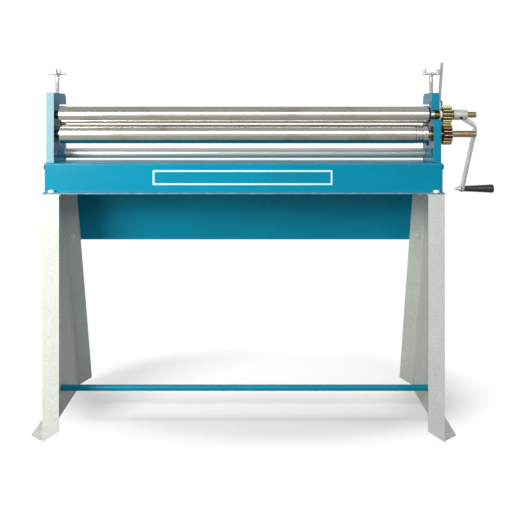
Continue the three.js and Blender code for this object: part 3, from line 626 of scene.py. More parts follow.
def thread_tree():
    """Winds a V-shaped ridge up the Z axis and joins it to the plain core."""
    tree, source = start_tree("thread_tree", {
        "Core radius": "NodeSocketFloat", "Depth": "NodeSocketFloat", "Pitch": "NodeSocketFloat",
        "Length": "NodeSocketFloat", "Start": "NodeSocketFloat", "Material": "NodeSocketMaterial"})
    rounds = add_node(
        tree, "ShaderNodeMath", {0: source.outputs["Length"], 1: source.outputs["Pitch"]},
        operation="DIVIDE")
    path = add_node(
        tree, "GeometryNodeCurveSpiral",
        {"Resolution": 28, "Rotations": rounds, "Start Radius": source.outputs["Core radius"],
         "End Radius": source.outputs["Core radius"], "Height": source.outputs["Length"]})
    upright = add_node(tree, "GeometryNodeSetCurveNormal", {"Curve": path}, mode="Z_UP")
    ridge = add_node(
        tree, "GeometryNodeCurvePrimitiveCircle", {"Resolution": 4, "Radius": source.outputs["Depth"]},
        mode="RADIUS")
    swept = add_node(
        tree, "GeometryNodeCurveToMesh",
        {"Curve": upright, "Profile Curve": ridge, "Fill Caps": True})
    lift = add_node(tree, "ShaderNodeCombineXYZ", {"Z": source.outputs["Start"]})
    raised = add_node(tree, "GeometryNodeTransform", {"Geometry": swept, "Translation": lift})
    both = add_node(
        tree, "GeometryNodeJoinGeometry", {"Geometry": [source.outputs["Geometry"], raised]})
    end_tree(tree, source, both)
    return tree


def fastener_tree():
    """Puts one fastener on each point, turned as the point's own attribute says."""
    tree, source = start_tree("fastener_tree", {
        "Fastener": "NodeSocketObject", "Size": "NodeSocketFloat", "Material": "NodeSocketMaterial"})
    spots = add_node(tree, "GeometryNodeMeshToPoints", {"Mesh": source.outputs["Geometry"]})
    turn_by = add_node(
        tree, "GeometryNodeInputNamedAttribute", {"Name": "turn"}, data_type="FLOAT_VECTOR")
    turn = add_node(tree, "FunctionNodeEulerToRotation", {0: turn_by})
    shape = add_node(
        tree, "GeometryNodeObjectInfo", {"Object": source.outputs["Fastener"]},
        transform_space="ORIGINAL")
    copies = add_node(
        tree, "GeometryNodeInstanceOnPoints",
        {"Points": spots, "Instance": shape.outputs["Geometry"], "Rotation": turn,
         "Scale": source.outputs["Size"]})
    end_tree(tree, source, copies)
    return tree


def grown(base, make_tree, values):
    """The plain mesh that a Geometry Nodes tree grows from a base mesh."""
    name = make_tree.__name__
    tree = bpy.data.node_groups.get(name) or make_tree()
    helper = new_object("helper", base)
    modifier = helper.modifiers.new("Grown", "NODES")
    modifier.node_group = tree
    for item in tree.interface.items_tree:
        if item.in_out == "INPUT" and item.name in values:
            modifier[item.identifier] = values[item.name]
    mesh = evaluated(helper)
    bpy.data.objects.remove(helper)
    if not mesh.polygons:
        raise RuntimeError(f"{name} grew nothing")
    return mesh


def evaluated(helper):
    bpy.context.view_layer.update()
    graph = bpy.context.evaluated_depsgraph_get()
    return bpy.data.meshes.new_from_object(helper.evaluated_get(graph), depsgraph=graph)


def cast(meshes, step):
    """Overlapping solids fused and rounded like one casting."""
    helper = new_object("helper", joined(meshes))
    fused = helper.modifiers.new("Fused", "REMESH")
    fused.mode = "VOXEL"
    fused.voxel_size = step
    rounded = helper.modifiers.new("Rounded", "SMOOTH")
    rounded.factor = 0.6
    rounded.iterations = 5
    mesh = evaluated(helper)
    bpy.data.objects.remove(helper)
    return mesh


# Operators, one for each piece or group of like pieces


class StageOperator(bpy.types.Operator):
    """Adds the pale floor, the soft studio lights and the camera."""

    bl_idname = "slip_roll.add_stage"
    bl_label = "Stage"

    def execute(self, context):
        add_floor()
        add_world(context.scene)
        # Name, place, aim, width, height, spread in degrees, watts and colour of each light
        for name, place, aim, width, height, spread, power, colour in (
            ("key_from_left", (-1.98, -2.95, 1.78), (-0.85, 0.0, 0.9), 1.4, 1.8, 80, 28, (1.0, 1.0, 0.92)),
            ("front_box", (-0.2, -4.4, 2.8), (-0.2, 0.0, 0.9), 3.6, 1.5, 180, 94, (1.0, 1.0, 0.98)),
            ("cool_fill", (3.4, -2.2, 1.4), (0.2, 0.0, 0.8), 1.2, 2.0, 180, 14, (0.72, 0.86, 1.0)),
            ("overhead", (0.0, 0.8, 4.2), (0.0, 0.8, 0.0), 4.5, 3.5, 180, 116, (1.0, 1.0, 1.0)),
        ):
            light = bpy.data.lights.new(name, "AREA")
            light.shape = "RECTANGLE"
            light.size = width
            light.size_y = height
            light.spread = math.radians(spread)
            light.energy = power
            light.color = colour
            lamp = new_object(name, light)
            lamp.location = place
            lamp.rotation_euler = (Vector(aim) - Vector(place)).to_track_quat("-Z", "Y").to_euler()
            lamp.visible_camera = False
            lamp.visible_glossy = name != "overhead"
        add_camera(context.scene)
        return {"FINISHED"}


def add_floor():
    shape = bmesh.new()
    bmesh.ops.create_circle(shape, cap_ends=True, radius=30.0, segments=64)
    mesh = bpy.data.meshes.new("floor")
    shape.to_mesh(mesh)
    shape.free()
    floor = new_object("floor", mesh)
    floor.location.z = -0.5 * MM
    material = bpy.data.materials.new("matt_white_backdrop")
    tree = empty_tree(material)
    place = add_node(tree, "ShaderNodeTexCoord").outputs["Object"]
    reach = add_node(tree, "ShaderNodeVectorMath", {0: place}, operation="LENGTH").outputs["Value"]
    # The shadow that the camera sees is wide but shallow, and lies a little behind the middle.
    squeezed = add_node(
        tree, "ShaderNodeMapping",
        {"Vector": place, "Location": (0.0, -0.36, 0.0), "Scale": (1.0, 1.6, 1.0)})
    shadow_reach = add_node(
        tree, "ShaderNodeVectorMath", {0: squeezed}, operation="LENGTH").outputs["Value"]
    path = add_node(tree, "ShaderNodeLightPath")
    # The camera sees a bright floor, and the object only a grey one, so that its folds stay deep.
    # The floor that the rolls mirror lies between the two, for the grey band along each one.
    bounced = add_node(
        tree, "ShaderNodeMapRange",
        {"Value": path.outputs["Is Glossy Ray"], "To Min": 0.27, "To Max": 0.45})
    matt_share = add_node(
        tree, "ShaderNodeMapRange",
        {"Value": path.outputs["Is Camera Ray"], "To Min": bounced, "To Max": 0.94})
    matt = add_node(tree, "ShaderNodeBsdfDiffuse", {"Color": matt_share})
    seen_far = add_node(
        tree, "ShaderNodeMapRange", {"Value": shadow_reach, "From Min": 0.62, "From Max": 0.92},
        interpolation_type="SMOOTHSTEP")
    seen = add_node(
        tree, "ShaderNodeMath", {0: seen_far, 1: path.outputs["Is Camera Ray"]},
        operation="MULTIPLY")
    mirrored_far = add_node(
        tree, "ShaderNodeMapRange", {"Value": reach, "From Min": 1.8, "From Max": 4.5},
        interpolation_type="SMOOTHSTEP")
    mirrored = add_node(
        tree, "ShaderNodeMath", {0: mirrored_far, 1: path.outputs["Is Glossy Ray"]},
        operation="MULTIPLY")
    share = add_node(tree, "ShaderNodeMath", {0: seen, 1: mirrored}, operation="MAXIMUM")
    # Reflections find the far floor a little darker towards the right.
    across = add_node(tree, "ShaderNodeSeparateXYZ", {0: place}).outputs["X"]
    dimmed = add_node(
        tree, "ShaderNodeMapRange",
        {"Value": across, "From Min": -0.5, "From Max": 3.0, "To Min": 0.85, "To Max": 0.45})
    strength = add_node(
        tree, "ShaderNodeMath", {0: dimmed, 1: path.outputs["Is Camera Ray"]},
        operation="MAXIMUM")
    white = add_node(
        tree, "ShaderNodeEmission",
        {"Color": (1.0, 1.0, 1.0, 1.0), "Strength": strength})
    both = add_node(tree, "ShaderNodeMixShader", {0: share, 1: matt, 2: white})
    add_node(tree, "ShaderNodeOutputMaterial", {"Surface": both})
    mesh.materials.append(material)


def seen_as_background(tree):
    """1 for camera, glossy and transmission rays, which see the plain white background."""
    path = add_node(tree, "ShaderNodeLightPath")
    seen = add_node(
        tree, "ShaderNodeMath",
        {0: path.outputs["Is Camera Ray"], 1: path.outputs["Is Glossy Ray"]}, operation="MAXIMUM")
    seen = add_node(
        tree, "ShaderNodeMath", {0: seen, 1: path.outputs["Is Transmission Ray"]},
        operation="MAXIMUM")
    return seen


def add_world(scene):
    world = bpy.data.worlds.new("studio")
    tree = empty_tree(world)
    white = add_node(tree, "ShaderNodeBackground", {"Color": (1.0, 1.0, 1.0, 1.0), "Strength": 1.0})
    soft = add_node(tree, "ShaderNodeBackground", {"Color": (1.0, 1.0, 1.0, 1.0), "Strength": 0.17})
    # Overhead the studio is dimmer than at eye level, which bands the rolls.
    place = add_node(tree, "ShaderNodeTexCoord").outputs["Generated"]
    height = add_node(tree, "ShaderNodeSeparateXYZ", {0: place}).outputs["Z"]
    overhead = add_node(
        tree, "ShaderNodeMapRange",
        {"Value": height, "From Min": 0.25, "From Max": 0.75, "To Min": 0.85, "To Max": 0.62},
        interpolation_type="SMOOTHSTEP")
    ceiling = add_node(tree, "ShaderNodeBackground", {"Strength": overhead})
    camera_only = add_node(tree, "ShaderNodeLightPath").outputs["Is Camera Ray"]
    mirrored = add_node(tree, "ShaderNodeMixShader", {0: camera_only, 1: ceiling, 2: white})
    both = add_node(
        tree, "ShaderNodeMixShader",
        {0: seen_as_background(tree), 1: soft, 2: mirrored})
    add_node(tree, "ShaderNodeOutputWorld", {"Surface": both})
    scene.world = world
    scene.view_settings.view_transform = "Standard"


def add_camera(scene):
    lens = bpy.data.cameras.new("camera")
    lens.lens = 54.7
    lens.sensor_width = 36.0
    lens.shift_y = -0.279
    lens.clip_start = 0.05
    camera = new_object("camera", lens)
    # Level with the top roll, 2.6 m in front of the bed
    camera.location = (-0.05665, -2.841, 1.088)
    camera.rotation_euler = (math.radians(90), 0.0, 0.0)
    scene.camera = camera


class StandOperator(bpy.types.Operator):
    """Adds the two folded legs, the rear panel's finish and the tie rod."""

    bl_idname = "slip_roll.add_stand"
    bl_label = "Stand"

    def execute(self, context):
        # The legs' sheet is thinner than the bed's, so its folds are tighter.
        fold = sizes().fold_radius * 0.8
        for side in SIDES:
            node = f"{side}_leg"
            mesh = softened(node, sizes().sheet_edge, sheet=3 * MM, fold=fold)
            piece(f"{node}_folded", mesh, "machine", [leg_enamel(), worn_leg_edge()], [node], "leg_paint")
        add_bar("tie_rod", "tie_rod_bar", bed_enamel(), "blue_paint")
        finish_node("rear_panel", [bed_enamel(), worn_bed_edge()], sizes().sheet_edge)
        return {"FINISHED"}


def finish_node(node, materials, edge):
    """Keeps a CAD node's shape, breaks its edges and gives it its finish."""
    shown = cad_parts[node]
    while len(shown.data.materials) < len(materials):
        shown.data.materials.append(None)
    for slot, material in zip(shown.material_slots, materials):
        slot.material = material
    welded = shown.modifiers.new("Welded", "WELD")
    welded.merge_threshold = WELD
    broken = shown.modifiers.new("Broken edges", "BEVEL")
    broken.width = edge
    broken.segments = 2
    broken.limit_method = "ANGLE"
    broken.angle_limit = SHARP
    broken.harden_normals = True
    broken.material = len(materials) - 1


class BedOperator(bpy.types.Operator):
    """Adds the folded bed, its end plates' finish, the tie bar and the bare label."""

    bl_idname = "slip_roll.add_bed"
    bl_label = "Bed"

    def execute(self, context):
        mesh = softened("bed_channel", sizes().sheet_edge, sheet=4 * MM, fold=sizes().fold_radius)
        # The lip below the front face, which reaches 32 mm forwards, takes the paler finish as a painted
        # highlight.
        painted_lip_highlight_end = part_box("bed_channel")[0].y + 28 * MM
        for face in mesh.polygons:
            if face.center.y < painted_lip_highlight_end:
                face.material_index = 1
        piece(
            "bed_channel_folded", mesh, "machine", [bed_enamel(), worn_bed_edge()], ["bed_channel"],
            "blue_paint")
        for side in SIDES:
            finish_node(f"{side}_end_plate", [bed_enamel(), worn_bed_edge()], sizes().sheet_edge)
        add_bar("tie_bar", "tie_bar_drawn", bar_steel(), "satin_steel", sides=96)
        self.add_label()
        return {"FINISHED"}

    def add_label(self):
        """A printed outline round a bare field, where such machines carry their label."""
        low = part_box("bed_channel")[0]
        # The field is 601 by 50 mm, a little nearer to the bed's top than to its bottom.
        centre = Vector((low.x + 661 * MM, low.y + 32 * MM, low.z + 52.3 * MM))
        mesh = rounded_outline(601 * MM, 50 * MM, 2 * MM, sizes().label_line, centre)
        piece("label_outline", mesh, "machine", [label_ink()], [], "leg_paint")


def rounded_outline(width, height, corner, line, centre):
    """A flat rectangular line with rounded corners that faces the operator."""
    # Printed ink stands a little proud of the enamel.
    proud = 0.15 * MM
    shape = bmesh.new()
    rings = []
    for inset, depth in ((0.0, 0.0), (0.0, -proud), (line, -proud), (line, 0.0)):
        ring = []
        radius = max(corner - inset, corner * 0.3)
        for k, (sx, sz) in enumerate(((1, 1), (-1, 1), (-1, -1), (1, -1))):
            for step in range(5):
                angle = math.radians(90 * k + 22.5 * step)
                x = sx * (width / 2 - inset - radius) + radius * math.cos(angle)
                z = sz * (height / 2 - inset - radius) + radius * math.sin(angle)
                ring.append(shape.verts.new((centre.x + x, centre.y + depth, centre.z + z)))
        rings.append(ring)
    for one, two in zip(rings, rings[1:] + rings[:1]):
        for i in range(len(one)):
            j = (i + 1) % len(one)
            shape.faces.new((one[i], one[j], two[j], two[i]))
    return to_mesh(shape)


class FramesOperator(bpy.types.Operator):
    """Gives the two end frames their broken edges and enamel."""

    bl_idname = "slip_roll.add_end_frames"
    bl_label = "End frames"

    def execute(self, context):
        for side in SIDES:
            finish_node(
                f"{side}_end_frame", [frame_enamel(side), worn_bed_edge()], sizes().frame_edge)
        return {"FINISHED"}


class RollsOperator(bpy.types.Operator):
    """Adds the three rolls with their journals and shafts."""

    bl_idname = "slip_roll.add_rolls"
    bl_label = "Rolls"

    def execute(self, context):
        left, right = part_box("left_end_frame"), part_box("right_end_frame")
        mid = (left[0].x + right[1].x) / 2
        # All distances along a roll count from the middle between the end frames' outsides.
        frame_inner = mid - left[1].x
        frame_outer = right[1].x - mid
        shaft_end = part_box("top_roll")[1].x - mid
        journal_end = frame_outer - 3 * MM
        journal = 12.5 * MM

        def left_part(end, radius):
            """The left journal, and the step up to the roll."""
            return [(-journal_end, 0), (-journal_end, journal), (-end, journal), (-end, radius)]

        def shaft(start, radius):
            """The right shaft's end, with a chamfer and a hole for the lathe's centre."""
            return [
                (start, radius), (shaft_end - 2 * MM, radius), (shaft_end, radius - 2 * MM),
                (shaft_end, 3 * MM), (shaft_end - 3 * MM, 0)]

        # The top roll is 56 mm thick, and ends in a thrust collar and a neck on the right.
        radius, collar, neck = 28 * MM, 25 * MM, 13.5 * MM
        end = frame_inner - 15 * MM
        collar_end = end + 7 * MM
        neck_end = end + 22 * MM
        profile = left_part(end, radius) + [
            (end, radius), (end, collar), (collar_end, collar), (collar_end, neck), (neck_end, neck)]
        self.add_roll(
            "top_roll", profile + shaft(neck_end, 10 * MM), mid, "top_roll_and_crank", end, neck_end,
            (end, collar_end))
        # The lower roll is 63.5 mm thick, with wire grooves 3, 4 and 5 mm wide at its right end.
        radius = 31.75 * MM
        end = frame_inner - 18 * MM
        profile = left_part(end, radius)
        for width, right in ((3 * MM, end - 39 * MM), (4 * MM, end - 28 * MM), (5 * MM, end - 17 * MM)):
            profile += [
                (right - width, radius), (right - width * 0.8, radius - 3 * MM),
                (right - width * 0.5, radius - 3.5 * MM), (right - width * 0.2, radius - 3 * MM),
                (right, radius)]
        profile += [(end, radius), (end, journal), (frame_outer, journal)]
        self.add_roll(
            "lower_roll", profile + shaft(frame_outer, 11 * MM), mid, "lower_roll_and_gear", end, end)
        # The rear roll is 56 mm thick, and the same at both ends.
        end = frame_inner - 12 * MM
        half = left_part(end, 28 * MM)
        profile = half + [(-along, radius) for along, radius in reversed(half)]
        self.add_roll("rear_roll", profile, mid, "rear_roll_body", end, end)
        return {"FINISHED"}

    def add_roll(self, node, profile, mid, body, bright_start, bright_end, collar=(0, 0)):
        """A roll that is bright along its working length, black on its collar as painted shade and black
        on its left journal, and oily beyond its right end."""
        centre = Vector((mid, middle(node).y, middle(node).z))
        mesh = turned(filleted(profile, sizes().turned_corner), centre, sides=sizes().roll_sides)
        # A flat end takes the finish of what lies inside it.
        step = 0.2 * MM
        for face in mesh.polygons:
            x = face.center.x - mid
            # Black on the collar is painted shade between the roll and the frame; the left journal is
            # black too.
            black = collar[0] < x - step < collar[1] or x + step < -bright_start
            face.material_index = 2 if black else int(x - step > bright_end)
        piece(
            f"{node}_ground", mesh, body, [roll_steel(), shaft_plating(), black_oxide()], [node],
            "ground_steel")


class BearingsOperator(bpy.types.Operator):
    """Adds the bushes and finishes the bearing blocks."""

    bl_idname = "slip_roll.add_bearings"
    bl_label = "Bearings"

    def execute(self, context):
        for node, material, slot in (
            ("right_top_bush", bush_bronze(), "bronze"),
            ("nylon_bush", turned_nylon(), "nylon"),
        ):
            half = half_size(node)
            # Both bores clear the 20 mm shaft.
            bore = 10.35 * MM
            profile = [(-half.x, bore), (-half.x, half.z), (half.x, half.z), (half.x, bore)]
            rounded = filleted(profile + profile[:1], sizes().turned_corner)[:-1]
            piece(
                f"{node}_turned", turned(rounded, middle(node), ring=True, sides=64),
                "top_roll_bearings", [material], [node], slot)
        for node in (
            "left_swivel_block", "left_lower_block", "right_lower_block", "left_rear_block",
            "right_rear_block",
        ):
            finish_node(node, [black_oxide()], sizes().frame_edge)
        return {"FINISHED"}


class GearsOperator(bpy.types.Operator):
    """Adds the two spur gears at the crank's end."""

    bl_idname = "slip_roll.add_gears"
    bl_label = "Gears"

    def execute(self, context):
        # A tooth of the upper gear points down, into a gap of the lower one.
        self.add_gear("upper_gear", 15, 32.6 * MM, 10.4 * MM, -90.0, "top_roll_and_crank")
        self.add_gear("lower_gear", 17, 36.3 * MM, 11.4 * MM, 90.0 + 180.0 / 17, "lower_roll_and_gear")
        return {"FINISHED"}

    def add_gear(self, node, teeth, tip, bore, first, body):
        """A gear with involute teeth, the first of which lies at a number of degrees. Both of its
        faces are dished between the boss and the rim."""
        module = 3.75 * MM
        pressure = math.radians(20)
        base = module * teeth / 2 * math.cos(pressure)
        root = tip - 10.5 * MM
        half_pitch = math.pi / teeth

        def half_angle(radius):
            here = math.acos(min(base / radius, 1.0))
            return (
                math.pi / (2 * teeth) + math.tan(pressure) - pressure - (math.tan(here) - here))

        # Each tooth widens a little towards its foot.
        foot = half_angle(root) * 1.2 + 0.2 * half_pitch
        flank = [base + (tip - base) * i / 7 for i in range(8)]
        rise = [(root + 0.6 * MM, half_angle(root) * 1.06)] + [(r, half_angle(r)) for r in flank]
        outline = [(root, -half_pitch), (root, -foot)] + [(r, -a) for r, a in rise]
        outline += [(r, a) for r, a in reversed(rise)] + [(root, foot), (root, half_pitch)]
        low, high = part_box(node)
        start, end = low.x, high.x
        chamfer = sizes().tooth_chamfer
        narrowed = 0.12
        boss = bore + 5 * MM
        web = root - 3.5 * MM
        dish = 2.5 * MM
        # Each row has a place on the axis, and either a radius or how far the teeth are cut back.
        # The rows run over the left face, the teeth and the right face, and back to the start.
        rows = [
            (start, bore, None), (start, boss, None), (start + dish, boss + 1 * MM, None),
            (start + dish, web - 1 * MM, None), (start, web, None), (start, None, chamfer),
            (start + chamfer, None, 0.0), (end - chamfer, None, 0.0), (end, None, chamfer),
            (end, web, None), (end - dish, web - 1 * MM, None), (end - dish, boss + 1 * MM, None),
            (end, boss, None), (end, bore, None), (start, bore, None)]
        shape = bmesh.new()
        grid = []
        for x, fixed, cut in rows:
            row = []
            for radius, angle in outline:
                if cut and radius > root + 1 * MM:
                    angle *= 1 - narrowed * cut / chamfer
                turn = math.radians(first) + angle
                out = min(radius, tip - cut) if fixed is None else fixed
                row.append(shape.verts.new((x, out * math.cos(turn), out * math.sin(turn))))
            grid.append(row)
        for one, two in zip(grid, grid[1:]):
            for i in range(len(outline) - 1):
                shape.faces.new((one[i], one[i + 1], two[i + 1], two[i]))
        axis = middle(node)
        plating = gear_plating(
            f"yellow_passivated_{node}", getattr(colours(), node), root, tip, axis)
        mesh = grown(
            to_mesh(shape), teeth_tree, {"Teeth": teeth, "Merge distance": WELD, "Material": plating})
        # The slices may point inwards, so the whole gear is turned outwards again.
        whole = bmesh.new()
        whole.from_mesh(mesh)
        mesh = to_mesh(whole)
        mesh.transform(Matrix.Translation((0.0, axis.y, axis.z)))
        piece(f"{node}_cut", mesh, body, [plating], [node], "bronze")


class CrankOperator(bpy.types.Operator):
    """Adds the crank's hub, arm, grip and the parts that hold them."""

    bl_idname = "slip_roll.add_crank"
    bl_label = "Crank"

    def execute(self, context):
        body = "top_roll_and_crank"
        piece(
            "crank_hub_cast", softened("crank_hub", 0.6 * MM), body,
            [hub_plating()] * 2, ["crank_hub"], "pale_zinc")
        arm = softened("crank_arm", 0.9 * MM, sheet=8 * MM, fold=13 * MM)
        piece("crank_arm_bent", arm, body, [zinc_plating()] * 2, ["crank_arm"], "zinc")
        finish_node("hub_set_screw", [black_oxide()], 0.4 * MM)
        self.add_spindle(body)
        self.add_grip()
        return {"FINISHED"}

    def add_spindle(self, body):
        """The spindle that the grip spins on, and its nut."""
        half = half_size("grip_spindle").x
        profile = filleted([
            (-half, 0), (-half, 5 * MM), (1 * MM - half, 6 * MM), (half - 4 * MM, 6 * MM),
            (half - 4 * MM, 9 * MM), (half, 8 * MM), (half, 0)], 0.6 * MM)
        mesh = turned(profile, middle("grip_spindle"), sides=32)
        piece("grip_spindle_turned", mesh, body, [zinc_plating()], ["grip_spindle"], "zinc")
        half = half_size("grip_nut").x
        bore = 6.35 * MM
        corner = 6 * MM * HEXAGON
        profile = [
            (-half, bore), (-half, corner * 0.88), (1.2 * MM - half, corner),
            (half - 1.2 * MM, corner), (half, corner * 0.88), (half, bore)]
        mesh = turned(profile, middle("grip_nut"), sides=6, ring=True)
        piece("grip_nut_hexagon", mesh, body, [zinc_plating()], ["grip_nut"], "zinc")

    def add_grip(self):
        """A slim neck at the arm swells to a rounded head, with a recess for the spindle's head."""
        end = half_size("grip").x
        length = 2 * end
        bore = 6.4 * MM
        profile = [(-end, bore), (-end, 9.4 * MM), (1.5 * MM - end, 10.6 * MM)]
        profile += [
            (share * length - end, radius * MM)
            for share, radius in ((0.2, 11.2), (0.4, 12.1), (0.6, 13.3), (0.78, 14.4))]
        profile += [
            (end - 12 * MM, 15.3 * MM), (end - 4 * MM, 15.3 * MM), (end - 1 * MM, 14.2 * MM),
            (end, 12.2 * MM), (end, 9.6 * MM), (end - 8 * MM, 9.4 * MM), (end - 8 * MM, bore)]
        mesh = turned(filleted(profile, 2.5 * MM, 5), middle("grip"), sides=64, ring=True)
        piece("grip_moulded", mesh, "crank_grip", [grip_moulding()], ["grip"], "grip")


class AdjustersOperator(bpy.types.Operator):
    """Adds the rear roll's threaded screws with their cast handles."""

    bl_idname = "slip_roll.add_adjusting_screws"
    bl_label = "Adjusting screws"

    def execute(self, context):
        for side in SIDES:
            body = f"{side}_adjuster"
            node = f"{side}_adjusting_screw"
            height = 2 * half_size(node).z
            thread_top = height - 18 * MM
            depth = sizes().thread_depth
            core = 6.5 * MM - depth
            # From below: the foot, a neck, the thread's core and the handle's seat
            profile = filleted([
                (0, 0), (0, 8 * MM), (6 * MM, 8 * MM), (6 * MM, 4.8 * MM), (19 * MM, 4.8 * MM),
                (19 * MM, core), (thread_top, core), (thread_top, 4 * MM), (height, 4 * MM),
                (height, 0)], 0.5 * MM)
            base = turned(profile, axis="Z", sides=48)
            mesh = grown(base, thread_tree, {
                "Core radius": core, "Depth": depth, "Pitch": sizes().screw_pitch,
                "Length": thread_top - 24 * MM, "Start": 22 * MM, "Material": hub_plating()})
            mesh.transform(Matrix.Translation(foot_of(node)))
            piece(f"{node}_threaded", mesh, body, [hub_plating()], [node], "pale_zinc")
            self.add_handle(side, body)
        return {"FINISHED"}

    def add_handle(self, side, body):
        """A hub with two crossed rods. The shorter rod ends in a pair of upright lugs."""
        node = f"{side}_screw_handle"
        along, across = ("X", "Y") if side == "right" else ("Y", "X")
        level = Vector((0, 0, 29 * MM))
        reach = 24 * MM
        step = Vector((reach, 0, 0)) if side == "right" else Vector((0, reach, 0))
        hub = [
            (0.4 * MM, 0), (0.4 * MM, 7 * MM), (17 * MM, 6.4 * MM), (22 * MM, 7 * MM),
            (33 * MM, 6.8 * MM), (33 * MM, 0)]
        lug = rod(25 * MM, 44.6 * MM, 5.9 * MM)
        mesh = cast([
            turned(hub, axis="Z", sides=32),
            turned(rod(-reach, reach, 4 * MM), level, along, 24),
            turned(rod(-29.6 * MM, 29.6 * MM, 4 * MM), level, across, 24),
            turned(lug, step, "Z", 24), turned(lug, -step, "Z", 24)], sizes().handle_grain)
        mesh.transform(Matrix.Translation(foot_of(node)))
        piece(f"{node}_cast", mesh, body, [hub_plating()], [node], "pale_zinc")


class LeverOperator(bpy.types.Operator):
    """Adds the release lever."""

    bl_idname = "slip_roll.add_release_lever"
    bl_label = "Release lever"

    def execute(self, context):
        piece(
            "release_lever_cast", softened("release_lever", 1.6 * MM, edge_steps=3), "lever",
            [lever_enamel()] * 2, ["release_lever"], "lever_grey")
        return {"FINISHED"}


def hexagon_bolt(radius, head, length):
    """A hexagon head on a washer, which meets the sheet at z = 0, with the shank below."""
    corner = radius * HEXAGON
    washer = rod(-0.2 * MM, 1.3 * MM, corner * 0.98)
    hexagon = [
        (1.2 * MM, 0), (1.2 * MM, corner * 0.97), (head - 1.1 * MM, corner * 0.97),
        (head, corner * 0.84), (head, 0)]
    shank = [(-length, 0), (-length, radius * 0.8), (1 * MM - length, radius), (0, radius), (0, 0)]
    return fastener([
        turned(filleted(washer, 0.3 * MM), axis="Z", sides=32), turned(hexagon, axis="Z", sides=6),
        turned(shank, axis="Z", sides=20)])


def hexagon_nut(radius, height):
    """A nut that hangs below z = 0, where it meets the sheet."""
    corner = radius * HEXAGON
    profile = [
        (-height, radius + 0.3 * MM), (-height, corner * 0.86), (1.2 * MM - height, corner),
        (-1.2 * MM, corner), (0, corner * 0.9), (0, radius + 0.3 * MM)]
    return fastener([turned(profile, axis="Z", sides=6, ring=True)])


def socket_screw(radius, head, length):
    """A cap screw with a round socket in its head, whose underside is at z = 0."""
    corner = radius * 1.5
    body = [
        (0, 0), (0, corner), (head, corner), (head, radius * 0.92), (head * 0.45, radius * 0.92),
        (head * 0.4, 0)]
    shank = [(-length, 0), (-length, radius * 0.85), (0, radius * 0.97), (0.5 * MM, 0)]
    return fastener([
        turned(filleted(body, 0.7 * MM), axis="Z", sides=36), turned(shank, axis="Z", sides=20)])


def fastener(meshes):
    """An unlinked object that a Geometry Nodes tree copies."""
    mesh = joined(meshes)
    mesh.polygons.foreach_set("use_smooth", [True] * len(mesh.polygons))
    return bpy.data.objects.new("fastener", mesh)


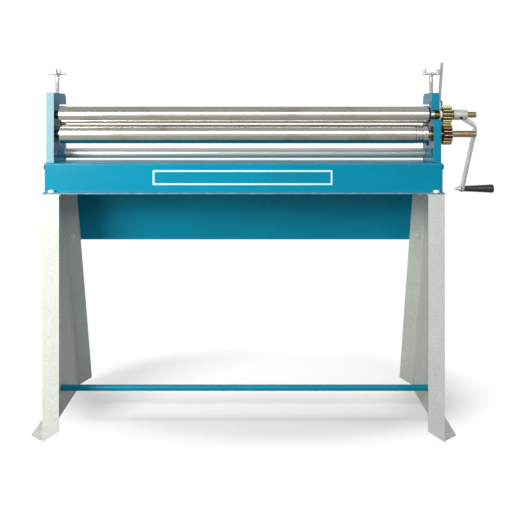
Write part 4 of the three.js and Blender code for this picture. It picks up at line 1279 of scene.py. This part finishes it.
class FastenersOperator(bpy.types.Operator):
    """Adds every bolt, nut and screw of the stand, bed and frames."""

    bl_idname = "slip_roll.add_fasteners"
    bl_label = "Fasteners"

    def execute(self, context):
        # The rear panel leans by 279 mm over a height of 820 mm.
        lean = math.atan2(279.0, 820.0)
        forwards = Vector((0, -math.cos(lean), -math.sin(lean)))
        up = Vector((0, 0, 1))
        one, pair = ("",), ("front_", "rear_")
        zinc, black = (zinc_plating(), "zinc"), (black_oxide(), "black_steel")
        # Piece, node, its places on each side, direction (outwards if none), finish and slot,
        # height of the head, fastener
        for name, node, places, way, looks, head, model in (
            ("tie_rod_bolts", "tie_rod_bolt", one, None, zinc, 6 * MM,
             hexagon_bolt(5 * MM, 6 * MM, 25 * MM)),
            ("panel_bolts", "panel_bolt", ("lower_", "upper_"), forwards, zinc, 6 * MM,
             hexagon_bolt(5 * MM, 6 * MM, 12 * MM)),
            ("bed_bolts", "bed_bolt", pair, up, zinc, 8 * MM,
             hexagon_bolt(6 * MM, 8 * MM, 21 * MM)),
            ("bed_nuts", "bed_nut", pair, up, zinc, 0.0, hexagon_nut(6 * MM, 8 * MM)),
            ("tie_bar_bolts", "tie_bar_bolt", one, None, zinc, 7 * MM,
             hexagon_bolt(6 * MM, 7 * MM, 50 * MM)),
            ("frame_screws", "frame_screw", pair, None, black, 12 * MM,
             socket_screw(6 * MM, 12 * MM, 16 * MM)),
        ):
            seats = [
                (f"{side}_{place}{node}", way or OUTWARDS[side]) for side in SIDES for place in places]
            self.place(name, model, head, seats, *looks)
        self.place(
            "lever_pivot_screw", socket_screw(6 * MM, 5 * MM, 32 * MM), 5 * MM,
            [("lever_pivot_bolt", OUTWARDS["right"])], *black)
        for side in SIDES:
            finish_node(f"{side}_pinch_screw", [black_oxide()], 0.5 * MM)
        return {"FINISHED"}

    def place(self, name, model, head, seats, material, slot):
        """Grows one piece from the fastener, with a copy for each node that it replaces."""
        nodes = [node for node, _ in seats]
        spots = bpy.data.meshes.new(name)
        spots.from_pydata([head_of(node, out) - out * head for node, out in seats], [], [])
        turns = spots.attributes.new("turn", "FLOAT_VECTOR", "POINT")
        for item, (_, out) in zip(turns.data, seats):
            item.vector = out.to_track_quat("Z", "Y").to_euler()
        bpy.context.scene.collection.objects.link(model)
        mesh = grown(spots, fastener_tree, {"Fastener": model, "Size": 1.0, "Material": material})
        bpy.data.objects.remove(model)
        piece(name, mesh, "machine", [material], nodes, slot)


OPERATORS = (
    StageOperator, StandOperator, BedOperator, FramesOperator, RollsOperator, BearingsOperator,
    GearsOperator, CrankOperator, AdjustersOperator, LeverOperator, FastenersOperator)


class SlipRollPanel(bpy.types.Panel):
    """Lists the pieces and their sizes and colours."""

    bl_idname = "VIEW3D_PT_slip_roll"
    bl_label = "Slip roll"
    bl_space_type = "VIEW_3D"
    bl_region_type = "UI"
    bl_category = "Slip roll"

    def draw(self, context):
        layout = self.layout
        for operator in OPERATORS:
            layout.operator(operator.bl_idname)
        for group in (context.scene.slip_roll_sizes, context.scene.slip_roll_colours):
            box = layout.box()
            for name in group.__annotations__:
                box.prop(group, name)


CLASSES = (SlipRollSizes, SlipRollColours, *OPERATORS, SlipRollPanel)


def register():
    for cls in CLASSES:
        bpy.utils.register_class(cls)
    bpy.types.Scene.slip_roll_sizes = PointerProperty(type=SlipRollSizes)
    bpy.types.Scene.slip_roll_colours = PointerProperty(type=SlipRollColours)


def unregister():
    del bpy.types.Scene.slip_roll_colours
    del bpy.types.Scene.slip_roll_sizes
    for cls in reversed(CLASSES):
        bpy.utils.unregister_class(cls)


def main():
    register()
    for operator in OPERATORS:
        group, name = operator.bl_idname.split(".")
        getattr(getattr(bpy.ops, group), name)()


if __name__ == "__main__":
    main()
